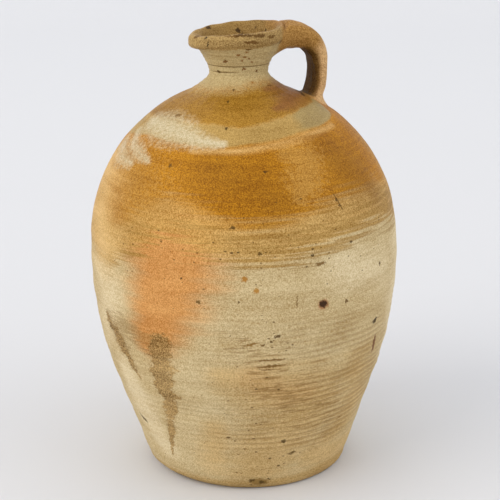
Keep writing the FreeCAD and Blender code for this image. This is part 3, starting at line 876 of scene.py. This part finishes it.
TAIL_MIDDLE = 59.0
tail_y = 22.0 * np.sin(side_angle + math.pi / 2)
tail_x = TAIL_MIDDLE + np.where(face_share > 0, 14.5, 11.0) * np.sin(side_angle)
tail_foot = on_shoulder(tail_x, tail_y)
tail_inner = on_shoulder(TAIL_MIDDLE + INNER * (tail_x - TAIL_MIDDLE), INNER * tail_y)
tail_heading = unit(tail_foot - tail_inner)
tail_foot = tail_foot - SUNK * np.array([0.4, 0, 0.9])
print(f"the tail's foot is {np.ptp(tail_foot[:, 0]):.0f} by {np.ptp(tail_foot[:, 1]):.0f} mm")

# %% The whole handle
ROOT_ROWS = 9
handle_rows = np.concatenate([
    trumpet(strap[ROOT_ROWS], heading[ROOT_ROWS], root_foot, root_heading, (13, 10))[:-1],
    strap[ROOT_ROWS:],
    trumpet(strap[-1], -heading[-1], tail_foot, -tail_heading, (9, 9))[-2::-1],
])
handle_rows = handle_rows[:, ::-1]
place = np.arange(len(handle_rows))
free = smooth((place - 14) / 24) * smooth((len(handle_rows) - 12 - place) / 16)
free = free[:, None, None]
handle_grid = neck_lean(handle_rows) * (1 - free) + handle_rows * free
print(f"the handle's grid has {handle_grid.shape[0]} x {handle_grid.shape[1]} points")

# %% [markdown]
# ## The strap's own marks
#
# Near its ends the handle wears the pot's marks, and along its length its own: warm brown on top, paler on
# the sides, where painted light is added, and nearly black in the arch, where neither ash nor flame came
# and painted shade is added too. Fields on the mesh follow its bends, which a pattern in space would not.

# %% The handle's fields
handle_marks = fire_marks(handle_rows)
nearness = 1 - smooth(np.minimum(place, len(place) - 1 - place) / 15)[:, None]
for mark in handle_marks:
    handle_marks[mark] = handle_marks[mark] * nearness
facing_out = face_share[::-1][None, :] + 0 * nearness
at_root = (place < len(place) / 2)[:, None]
handle_marks["strap"] = np.where(at_root, smooth((handle_rows[..., 0] - 18) / 18), 1 - nearness)
# Painted shade: the inner face, under the arch and facing the neck, is dark clay made darker still as shade.
shaded = smooth((place - 20) / 26) * smooth((len(place) - 4 - place) / 8)
handle_marks["strap_inner_dark_and_shade"] = np.clip(-0.12 - 1.05 * facing_out, 0, 1) * shaded[:, None]
# Painted light: the outer face and the sides below the arch are paler clay made lighter still as if lit.
handle_marks["strap_side_pale_and_lit"] = np.clip(0.95 + 0.9 * facing_out, 0, 1) * smooth((place - 34) / 22)[:, None]
handle_skin = skin("pulled_strap_handle", handle_grid, normals_of(handle_grid), handle_marks, False)

# %% [markdown]
# ## Wood-fired stoneware
#
# Stoneware is a grey or buff clay fired until it is dense. No glaze was put on: the wood's ash settled and
# melted into a thin satin skin, thickest on the shoulder, and the flame turned the bare clay orange. To
# the eye that gives a speckle of brown iron on tan, soft edges, and a sheen that comes and goes. The whole
# jug has one material, because it is one clay, and the marks say where each finish shows.


# %% Colours and nodes
def srgb(code):
    """A linear colour from an sRGB hex code: c/12.92 up to 0.04045, and ((c + 0.055)/1.055)^2.4 above it."""
    parts = [int(code[i:i + 2], 16) / 255 for i in (1, 3, 5)]
    return (*(c / 12.92 if c <= 0.04045 else ((c + 0.055) / 1.055) ** 2.4 for c in parts), 1.0)


def add(tree, kind, inputs=(), out=0, **settings):
    """Adds a node with its settings, links or sets its inputs, and returns one of its outputs."""
    node = tree.nodes.new(kind)
    for name, value in settings.items():
        setattr(node, name, value)
    for key, value in dict(inputs).items():
        if isinstance(value, bpy.types.NodeSocket):
            tree.links.new(value, node.inputs[key])
        else:
            node.inputs[key].default_value = value
    return node.outputs[out] if node.outputs else node


def per_metre(millimetres):
    """The scale of a pattern whose features are this size."""
    return 1.0 / (millimetres * MM)


print(f"#808080 is {srgb('#808080')[0]:.3f} in linear light")

# %% [markdown]
# ## The grain of the clay
#
# Clay is never even. It has specks of iron, a mottle of grit, clouds where the kiln was hotter, and lines
# that wet fingers drew as the wheel turned. Each is a noise of a real size, and those that follow the wheel
# are finer up the pot than round it. The real specks are smaller than a pixel of the picture, so they are
# drawn about a millimetre wide, the finest that still shows.

# %% Grains
# Each grain: its feature size in mm, how many times finer it is up the pot than round it, its detail
# and its roughness.
GRAINS = {
    "cloud": (46, 1.5, 4, 0.50),
    "mottle": (3.0, 1.3, 4, 0.60),
    "tear": (14, 1.8, 6, 0.70),
    "dash": (15, 11.0, 3, 0.60),
    "streak": (75, 9, 6, 0.64),
    "line": (60, 24, 4, 0.55),
    "speck": (0.95, 1.0, 1, 0.50),
}
BUFF_DARK, BUFF_LIGHT = "#b29664", "#decb9e"  # the bare clay


def lay_grains(tree, place):
    """The grains by name, each a noise spread over 0 to 1, and their blend, which shades every finish."""
    grain = {}
    for name, (size, finer, detail, roughness) in GRAINS.items():
        drawn = add(tree, "ShaderNodeMapping", {"Vector": place, "Scale": (1, 1, finer)})
        noise = add(
            tree, "ShaderNodeTexNoise",
            {"Vector": drawn, "Scale": per_metre(size), "Detail": detail, "Roughness": roughness},
        )
        grain[name] = add(tree, "ShaderNodeMapRange", {"Value": noise, "From Min": 0.32, "From Max": 0.68})
    tone = grain["speck"]
    for name, share in (("mottle", 0.18), ("line", 0.18), ("streak", 0.16), ("cloud", 0.18)):
        tone = add(tree, "ShaderNodeMix", {0: share, 2: tone, 3: grain[name]}, data_type="FLOAT")
    tone = add(tree, "ShaderNodeMapRange", {"Value": tone, "From Min": 0.24, "From Max": 0.76})
    return grain, tone


print("grains, in mm:", {name: numbers[0] for name, numbers in GRAINS.items()})

# %% [markdown]
# ## The finishes
#
# Each mark is a finish: its own dark and light clay, shaded by the same grain as the rest. One of the grains
# tears its edge, as ash and flame do, and it has its own roughness. They are laid over each other from the
# largest to the smallest, which is also how they came about: the flame first, then the ash, then the runs.

# %% The table of finishes
# Each finish: the mark that it follows, its dark and light clay, the grain that tears its edge, how far,
# how soft the edge is, how strong the finish is at most, and its roughness.
FINISHES = (
    ("cream", "#cfb88a", "#f0e0ba", "cloud", 0.25, 0.80, 0.86, 0.62),
    ("tan", "#af8c50", "#ddbb80", "streak", 0.45, 0.90, 0.72, 0.62),
    ("flash", "#b7732e", "#e2a45c", "streak", 0.22, 0.60, 0.90, 0.56),
    ("blush", "#b98246", "#d3a063", "mottle", 0.30, 0.90, 0.22, 0.56),
    ("straw", "#9f7229", "#dbb064", "line", 0.70, 0.60, 0.80, 0.50),
    ("ochre", "#875002", "#c98a14", "line", 0.45, 0.60, 0.97, 0.50),
    ("band", "#7a561a", "#a37f3c", "line", 1.10, 0.40, 0.50, 0.56),
    ("scorch", "#6b400a", "#996a20", "cloud", 0.35, 0.90, 0.50, 0.50),
    ("pale", "#a97a30", "#cda45c", "mottle", 0.60, 0.80, 0.50, 0.50),
    ("glow", "#c49a52", "#ecc98c", "streak", 0.30, 0.90, 0.78, 0.52),
    ("golden", "#7d5409", "#b38736", "mottle", 0.25, 0.45, 0.95, 0.46),
    ("neck", "#ab9362", "#cdbb8b", "mottle", 0.15, 0.80, 0.95, 0.56),
    ("smoke", "#744823", "#9a6838", "cloud", 0.15, 0.90, 0.82, 0.50),
    ("bare", "#98783c", "#c2a363", "tear", 0.22, 0.50, 0.92, 0.46),
    ("bare_end", "#8c7545", "#b29c67", "tear", 0.16, 0.30, 0.90, 0.46),
    ("rim", "#7a5a2a", "#bd9b5e", "mottle", 0.55, 0.80, 0.85, 0.52),
    ("mouth", "#735424", "#a6864e", "mottle", 0.30, 0.40, 0.90, 0.60),
    ("ash", "#b9aa80", "#ded3b4", "mottle", 0.50, 1.20, 0.80, 0.30),
    ("wash", "#74562a", "#a58650", "dash", 0.95, 0.40, 0.44, 0.60),
    ("run", "#583a0a", "#cba668", "tear", 0.75, 0.26, 0.84, 0.60),
    ("dash", "#7a5a2c", "#98743e", "dash", 1.00, 0.24, 0.60, 0.62),
    ("foot", "#9b783e", "#c4a163", "mottle", 0.30, 0.60, 0.70, 0.66),
    ("strap", "#88602a", "#be9150", "mottle", 0.20, 0.60, 1.00, 0.50),
    # pale clay with painted light on the sides of the strap
    ("strap_side_pale_and_lit", "#b58c5c", "#e3bd88", "streak", 0.30, 0.80, 0.85, 0.56),
    # dark clay with painted shade on the inner face under the arch
    ("strap_inner_dark_and_shade", "#3c280b", "#6a4b1c", "tear", 0.15, 0.75, 0.96, 0.66),
    # a painted shadow along the strap's foot
    ("strap_seam_shadow", "#3f2a10", "#5e4220", "mottle", 0.20, 0.50, 0.85, 0.66),
    ("score", "#57431e", "#74592c", "streak", 0.20, 0.60, 0.75, 0.70),
    ("inside", "#5f4a2a", "#7d6540", "mottle", 0.10, 0.20, 1.00, 0.75),
)
BARE_ROUGHNESS = 0.62


def lay_finishes(tree, grain, tone):
    """Colour and roughness of the clay with every finish over it.

    A finish covers the clay where its mark plus the tearing grain passes the middle of a soft edge, and
    not at all where its mark is absent.
    """
    bare = {0: tone, 6: srgb(BUFF_DARK), 7: srgb(BUFF_LIGHT)}
    colour = add(tree, "ShaderNodeMix", bare, out=2, data_type="RGBA")
    rough = BARE_ROUGHNESS
    for mark, dark, light, tearing, torn, soft, most, roughness in FINISHES:
        field = add(tree, "ShaderNodeAttribute", out="Fac", attribute_name=mark)
        edge = add(tree, "ShaderNodeMath", {0: grain[tearing], 1: torn, 2: field}, operation="MULTIPLY_ADD")
        reach = add(tree, "ShaderNodeMapRange", {"Value": field, "From Max": 0.25, "To Max": most})
        middle = EDGE + torn / 2
        cover = add(
            tree, "ShaderNodeMapRange",
            {"Value": edge, "From Min": middle - soft / 2, "From Max": middle + soft / 2, "To Max": reach},
            interpolation_type="SMOOTHSTEP",
        )
        clay = add(tree, "ShaderNodeMix", {0: tone, 6: srgb(dark), 7: srgb(light)}, out=2, data_type="RGBA")
        colour = add(tree, "ShaderNodeMix", {0: cover, 6: colour, 7: clay}, out=2, data_type="RGBA")
        rough = add(tree, "ShaderNodeMix", {0: cover, 2: rough, 3: roughness}, data_type="FLOAT")
    return colour, rough


print(f"{len(FINISHES)} finishes")

# %% [markdown]
# ## Dust, painted shade and pits
#
# A jug that has stood in cellars has brown dust in its grooves, most in the deep ones. The grooves' dark
# is also painted shade of the ridges. Bits of grit in the clay burnt out and left dark pits, some no larger
# than a pinhead. A Voronoi texture has one point in each cell, so it gives pits that never touch, and the
# cell's own random number says how large each one is.

# %% Dust and painted shade in the hollows, and pits
# Each kind of pit: the size of its cells and its largest radius in mm, how rare it is, and its colour.
PITS = ((5.0, 0.80, 0.60, "#66491f"), (11, 1.2, 0.64, "#553c1b"), (27, 1.4, 0.55, "#4a3215"))


def settle_dust_and_shade(tree, grain, colour):
    """Dust and painted shade over the clay: the groove's depth times 0.3 to 1 from the streaks."""
    groove_dust_and_shade = add(tree, "ShaderNodeAttribute", out="Fac", attribute_name="groove_dust_and_shade")
    dust_and_shade = add(tree, "ShaderNodeMath", {0: grain["streak"], 1: 0.7, 2: 0.3}, operation="MULTIPLY_ADD")
    dust_and_shade = add(tree, "ShaderNodeMath", {0: groove_dust_and_shade, 1: dust_and_shade}, operation="MULTIPLY")
    dust_and_shade = add(tree, "ShaderNodeMapRange", {"Value": dust_and_shade, "To Max": 0.60})
    return add(tree, "ShaderNodeMix", {0: dust_and_shade, 6: colour, 7: srgb("#8a6630")}, out=2, data_type="RGBA")


def burn_pits(tree, place, colour):
    """Pits over the clay: a disc in each cell whose luck, with more where the pitted mark is, is enough.

    The disc reaches (luck - rare) / (1 - rare) of the largest radius, and its edge is soft.
    """
    pitted = add(tree, "ShaderNodeAttribute", out="Fac", attribute_name="pitted")
    dragged = add(tree, "ShaderNodeMapping", {"Vector": place, "Scale": (1, 1, 1.7)})
    for size, radius, rare, shade in PITS:
        cells = add(tree, "ShaderNodeTexVoronoi", {"Vector": dragged, "Scale": per_metre(size)})
        luck = add(tree, "ShaderNodeTexVoronoi", {"Vector": dragged, "Scale": per_metre(size)}, out="Color")
        drawn = add(tree, "ShaderNodeMath", {0: pitted, 1: 0.30, 2: luck}, operation="MULTIPLY_ADD")
        drawn = add(tree, "ShaderNodeMath", {0: drawn, 1: rare}, operation="SUBTRACT")
        reach = add(tree, "ShaderNodeMath", {0: drawn, 1: radius / size / (1 - rare)}, operation="MULTIPLY")
        within = add(tree, "ShaderNodeMath", {0: reach, 1: cells}, operation="SUBTRACT")
        soft = 0.2 * radius / size
        cover = add(
            tree, "ShaderNodeMapRange", {"Value": within, "From Min": -soft, "From Max": soft, "To Max": 0.85}
        )
        colour = add(tree, "ShaderNodeMix", {0: cover, 6: colour, 7: srgb(shade)}, out=2, data_type="RGBA")
    return colour


print(f"pits up to {2 * max(kind[1] for kind in PITS):.1f} mm across")

# %% [markdown]
# ## Spots
#
# The larger spots are single things: an iron blister that burst, chips on the rim, scratches, ash that
# dripped. Each is placed at its bearing and height. It is a ball that is squeezed to its size and
# turned to lie on the surface, and a fine noise frays its edge.

# %% The table of spots
# Each spot: bearing, height, half its width and half its height in mm, the turn of its long side from
# level in degrees, and its colour.
SPOTS = (
    (28, 165, 5.0, 4.2, 0, "#b07c50"), (28, 165.2, 3.8, 3.0, -15, "#1f0e08"),
    (56, 137, 4.2, 1.9, 20, "#3b2912"), (59, 115, 2.2, 8.5, 4, "#6f4223"),
    (27, 197, 4.2, 1.5, 0, "#7a5a2c"), (38, 238.5, 0.7, 8.0, 22, "#5d3f17"),
    (38, 163, 1.6, 1.3, 0, "#6a4c26"), (57, 183, 1.1, 1.8, 0, "#5c4322"), (-2, 173, 0.9, 0.9, 0, "#5c4322"),
    (0, 190, 2.2, 2.4, -30, "#ad762a"), (4, 181, 2.2, 2.0, 20, "#b27d30"),
    (-22, 189, 1.1, 1.0, 0, "#4a3014"), (-16, 172, 2.0, 1.6, 0, "#6f5227"),
    (18, 171, 0.6, 5.0, 0, "#85683a"), (11, 144, 3.2, 1.2, 5, "#5a4120"), (2, 139, 4.6, 1.0, 14, "#8a6630"),
    (6, 138, 2.0, 0.9, 0, "#6b4c22"), (9, 125, 13.0, 0.8, -1, "#7b5a2d"),
    (9, 119.5, 11.0, 1.0, 1, "#7b5a2d"), (8, 117, 6.0, 0.6, 0, "#6e4d24"),
    (-58, 51, 6.0, 1.5, -24, "#5f4928"), (17, 47, 2.4, 1.9, 0, "#574323"), (22, 34, 3.6, 1.5, 8, "#6a512b"),
    (6, 8, 7.5, 3.6, -8, "#8d6f3b"), (2, 9.5, 2.4, 1.5, 20, "#5c4522"),
    (7.5, 7.5, 3.0, 1.7, -15, "#54401f"), (11, 10, 1.8, 1.1, 0, "#5c4522"),
    (9.5, 263.5, 1.4, 1.1, 0, "#4f3210"), (-33, 266, 1.8, 1.3, 0, "#6b4a1a"),
    (-4, 227, 2.4, 1.3, 0, "#5a4019"), (5.5, 208.5, 1.8, 1.1, 10, "#5a4019"),
    (24, 204, 1.3, 1.0, 0, "#4f3718"), (-9, 291, 1.4, 0.8, 0, "#4f3818"),
    (-48, 296.5, 2.8, 1.6, 0, "#7a5a2c"), (-11, 306.3, 1.2, 0.9, 0, "#4f3818"),
    (-21.4, 334, 2.0, 1.5, 30, "#6f4820"), (-41, 325, 1.8, 1.5, 0, "#5d4420"),
    (0.5, 339.5, 1.7, 1.1, 20, "#835626"), (9.6, 337.5, 1.5, 1.0, 0, "#835626"),
    (6, 334.8, 1.0, 0.8, 0, "#835626"), (12, 341.5, 1.3, 0.8, 0, "#835626"),
    (17, 336, 1.1, 0.8, 0, "#7a5022"), (23, 333, 1.2, 0.9, 0, "#7a5022"),
    (10.4, 328, 1.8, 1.0, 0, "#744a20"), (36, 325.2, 1.5, 0.8, 0, "#6b4820"),
    (13.9, 344, 2.6, 0.9, 0, "#644419"), (-8, 313, 0.9, 0.8, 0, "#5a3f1a"),
    (50, 314, 2.4, 0.9, 0, "#6b451c"), (23, 317.5, 1.5, 1.2, 0, "#98692f"),
    (-6, 354, 6.0, 0.9, 0, "#6b4a1e"), (8, 354.5, 8.0, 1.1, 0, "#573a15"),
    (26, 354, 6.0, 1.3, 0, "#5f4018"), (45, 352.3, 4.5, 1.1, 0, "#6b4a1e"),
    (14, 349.7, 4.6, 1.2, 3, "#68461b"), (22, 348.6, 2.6, 1.0, 0, "#68461b"),
    (-60, 352, 3.0, 1.4, 0, "#6b4c22"), (-42, 352.6, 0.5, 2.6, -25, "#2d1d0e"),
    (-38.4, 348.4, 0.5, 3.4, -18, "#2d1d0e"),
)
MOUTH_SPOTS = (  # these are inside the mouth
    (180, 351, 2.4, 1.9, 0, "#3d2913"), (128, 352.4, 1.8, 1.8, 0, "#3d2913"),
    (-131, 354.7, 2.6, 1.4, 0, "#3d2913"), (172, 348.6, 1.5, 1.0, 0, "#5b4220"),
    (150, 353.5, 1.2, 1.0, 0, "#5b4220"),
)
print(f"{len(SPOTS)} spots outside and {len(MOUTH_SPOTS)} in the mouth")


# %% Spots on the surface
def frayed_place(tree, place):
    """The place moved by up to 2 mm each way by a noise whose grain is 1.8 mm."""
    fine = {"Vector": place, "Scale": per_metre(1.8), "Detail": 2}
    noise = add(tree, "ShaderNodeTexNoise", fine, out="Color")
    noise = add(tree, "ShaderNodeVectorMath", {0: noise, 1: (0.5, 0.5, 0.5)}, operation="SUBTRACT")
    moved = {0: noise, 1: (4 * MM, 4 * MM, 4 * MM), 2: place}
    return add(tree, "ShaderNodeVectorMath", moved, operation="MULTIPLY_ADD")


def set_spots(tree, place, colour, spots, line):
    """Spots over the clay: each covers where the way from its centre, in its own half sizes, is below 1."""
    for bearing, height, across, up, turn, shade in spots:
        radius = float(np.interp(height, line[:, 1], line[:, 0]))
        centre = neck_lean(stand(np.array(bearing), radius, height)) * MM
        there = add(
            tree, "ShaderNodeMapping",
            {"Vector": place, "Location": centre.tolist(),
             "Rotation": (0, math.radians(-turn), math.radians(bearing + VIEW_AZIMUTH)),
             "Scale": (across * MM, max(across, up, 3) * MM, up * MM)},
            vector_type="TEXTURE",
        )
        away = add(tree, "ShaderNodeVectorMath", {0: there}, out="Value", operation="LENGTH")
        edge = {"Value": away, "From Min": 1.15, "From Max": 0.75, "To Max": 0.90}
        cover = add(tree, "ShaderNodeMapRange", edge)
        colour = add(tree, "ShaderNodeMix", {0: cover, 6: colour, 7: srgb(shade)}, out=2, data_type="RGBA")
    return colour


# %% The material
def wood_fired_stoneware():
    """The jug's fired skin: one clay, a finish for each fire mark, dust and painted shade, pits and spots."""
    material = bpy.data.materials.new("wood_fired_stoneware")
    material.use_nodes = True
    tree = material.node_tree
    tree.nodes.clear()
    place = add(tree, "ShaderNodeTexCoord", out="Object")
    grain, tone = lay_grains(tree, place)
    colour, rough = lay_finishes(tree, grain, tone)
    colour = settle_dust_and_shade(tree, grain, colour)
    colour = burn_pits(tree, place, colour)
    frayed = frayed_place(tree, place)
    colour = set_spots(tree, frayed, colour, SPOTS, outline[1:])
    colour = set_spots(tree, frayed, colour, MOUTH_SPOTS, loop[crest:neck_end][::-1])
    relief_height = add(
        tree, "ShaderNodeMix", {0: 0.4, 2: grain["mottle"], 3: grain["speck"]}, data_type="FLOAT"
    )
    bump = add(tree, "ShaderNodeBump", {"Strength": 0.22, "Distance": 0.4 * MM, "Height": relief_height})
    # A thin, pitted skin of ash: nearly matt, so its highlights are broad and weak.
    shader = add(
        tree,
        "ShaderNodeBsdfPrincipled",
        {"Base Color": colour, "Roughness": rough, "Normal": bump, "IOR": 1.5, "Specular IOR Level": 0.10},
    )
    add(tree, "ShaderNodeOutputMaterial", {"Surface": shader})
    return material


stoneware = wood_fired_stoneware()
print(f"{stoneware.name} has {len(stoneware.node_tree.nodes)} nodes")

# %% [markdown]
# ## Dress the pieces
#
# Each skin gets the clay and rides on the jug's one body. It stands for a CAD node, which stays for
# collision. The handle also stands for the two wads of clay at its ends.

# %% Say what each piece stands for
for piece, nodes, slot in (
    (lower_skin, ["lower_body"], "clay_lower"),
    (upper_skin, ["upper_body"], "clay_upper"),
    (neck_skin, ["neck"], "clay_neck"),
    (handle_skin, ["handle", "root_lute", "tail_lute"], "clay_handle"),
):
    piece.data.materials.append(stoneware)
    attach(piece, "root")
    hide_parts(*nodes)
    print(piece.name, "stands for", ", ".join(nodes))

# %% [markdown]
# ## Studio
#
# The jug stands on a pale sweep: a floor that curves up into its own background on every side, so that no
# horizon shows from any view. A photographer hangs a roll of paper for it. Here it is turned all round, so
# that the views from behind have it too.


# %% The sweep
def studio_sweep():
    """A floor and wall in one: a flat disc and a quarter circle, carried round the jug."""
    flat, bend = 2.9, 2.4
    turn = np.linspace(0, math.pi / 2, 25)[1:]
    radius = np.r_[0.02, np.linspace(0.3, flat, 12), flat + bend * np.sin(turn)]
    height = np.r_[np.zeros(13), bend * (1 - np.cos(turn))]
    angle = np.linspace(0, 2 * math.pi, 96, endpoint=False)
    grid = np.stack([
        radius[:, None] * np.cos(angle), radius[:, None] * np.sin(angle), height[:, None] + 0 * angle
    ], axis=-1)
    index = np.arange(grid[..., 0].size).reshape(grid.shape[:2])
    lower, upper = index[:-1], index[1:]
    quads = np.stack([lower, np.roll(lower, -1, axis=1), np.roll(upper, -1, axis=1), upper], axis=-1)
    mesh = bpy.data.meshes.new("sweep")
    mesh.from_pydata(grid.reshape(-1, 3).tolist(), [], quads.reshape(-1, 4).tolist() + [index[0].tolist()])
    mesh.polygons.foreach_set("use_smooth", np.ones(len(mesh.polygons), bool))
    sweep = bpy.data.objects.new("sweep", mesh)
    bpy.context.scene.collection.objects.link(sweep)
    # Uncoated paper: its fibres scatter the light, so it is pale and even and has no highlight.
    paper = bpy.data.materials.new("matt_white_paper")
    paper.use_nodes = True
    shader = paper.node_tree.nodes["Principled BSDF"]
    shader.inputs["Base Color"].default_value = srgb("#dadce0")
    shader.inputs["Roughness"].default_value = 0.9
    mesh.materials.append(paper)
    return sweep


sweep = studio_sweep()
print(f"the sweep has {len(sweep.data.polygons)} faces")

# %% [markdown]
# ## Light
#
# Window light is broad and soft. The key lamp stands high on the left and is nearly as large as it is far,
# so the shadows have no edge. A weaker one fills from the right, and a small one behind lifts the paper at
# the top of the picture. The room itself gives the rest.


# %% Lamps and room
def soft_light(name, bearing, distance, height, size, power, tint):
    """A square lamp at a bearing from the jug, aimed at the jug's middle."""
    lamp = bpy.data.lights.new(name, "AREA")
    lamp.shape, lamp.size, lamp.energy = "SQUARE", size, power
    lamp.color = srgb(tint)[:3]
    holder = bpy.data.objects.new(name, lamp)
    angle = math.radians(bearing + FACING)
    holder.location = (distance * math.cos(angle), distance * math.sin(angle), height)
    aim = np.array([0, 0, 0.2]) - np.array(holder.location)
    holder.rotation_euler = Vector(aim).to_track_quat("-Z", "Y").to_euler()
    bpy.context.scene.collection.objects.link(holder)


# Each lamp: its name, bearing, distance, height and size in metres, watts and colour.
LAMPS = (
    ("key", -60, 6.0, 4.0, 5.5, 268, "#fff6ea"),
    ("fill", 70, 6.4, 3.0, 6.0, 146, "#fffaf2"),
    ("back", 180, 3.6, 3.6, 3.5, 24, "#fffdf8"),
)
for lamp in LAMPS:
    soft_light(*lamp)
world = bpy.data.worlds.new("soft_room")
world.use_nodes = True
room = world.node_tree.nodes["Background"]
room.inputs["Color"].default_value = srgb("#f1f1f3")
room.inputs["Strength"].default_value = 0.97
bpy.context.scene.world = world
bpy.context.scene.view_settings.view_transform = "Standard"
print(f"{len(LAMPS)} lamps, {sum(lamp[5] for lamp in LAMPS)} W in all")

# %% [markdown]
# ## Camera
#
# A long lens from about a metre away, looking down at the jug by 16.5 degrees. It is turned a little to
# the right, so that the jug stands just left of the middle, and rolled by less than a degree.

# %% The photograph's view
LENS, SENSOR = 92.0, 36.0
AWAY, EYE = 1005.0, 472.9
PITCH, YAW, ROLL = 16.48, 0.28, 0.9
camera_data = bpy.data.cameras.new("camera")
camera_data.lens, camera_data.sensor_width = LENS, SENSOR
camera = bpy.data.objects.new("camera", camera_data)
view = math.radians(FACING)
camera.location = (AWAY * MM * math.cos(view), AWAY * MM * math.sin(view), EYE * MM)
turn = Matrix.Rotation(math.radians(VIEW_AZIMUTH - YAW), 4, "Z")
tilt = Matrix.Rotation(math.radians(90 - PITCH), 4, "X")
roll = Matrix.Rotation(math.radians(-ROLL), 4, "Z")
camera.rotation_euler = (turn @ tilt @ roll).to_euler()
bpy.context.scene.collection.objects.link(camera)
bpy.context.scene.camera = camera
print(f"the lens sees {math.degrees(camera_data.angle):.1f} degrees")
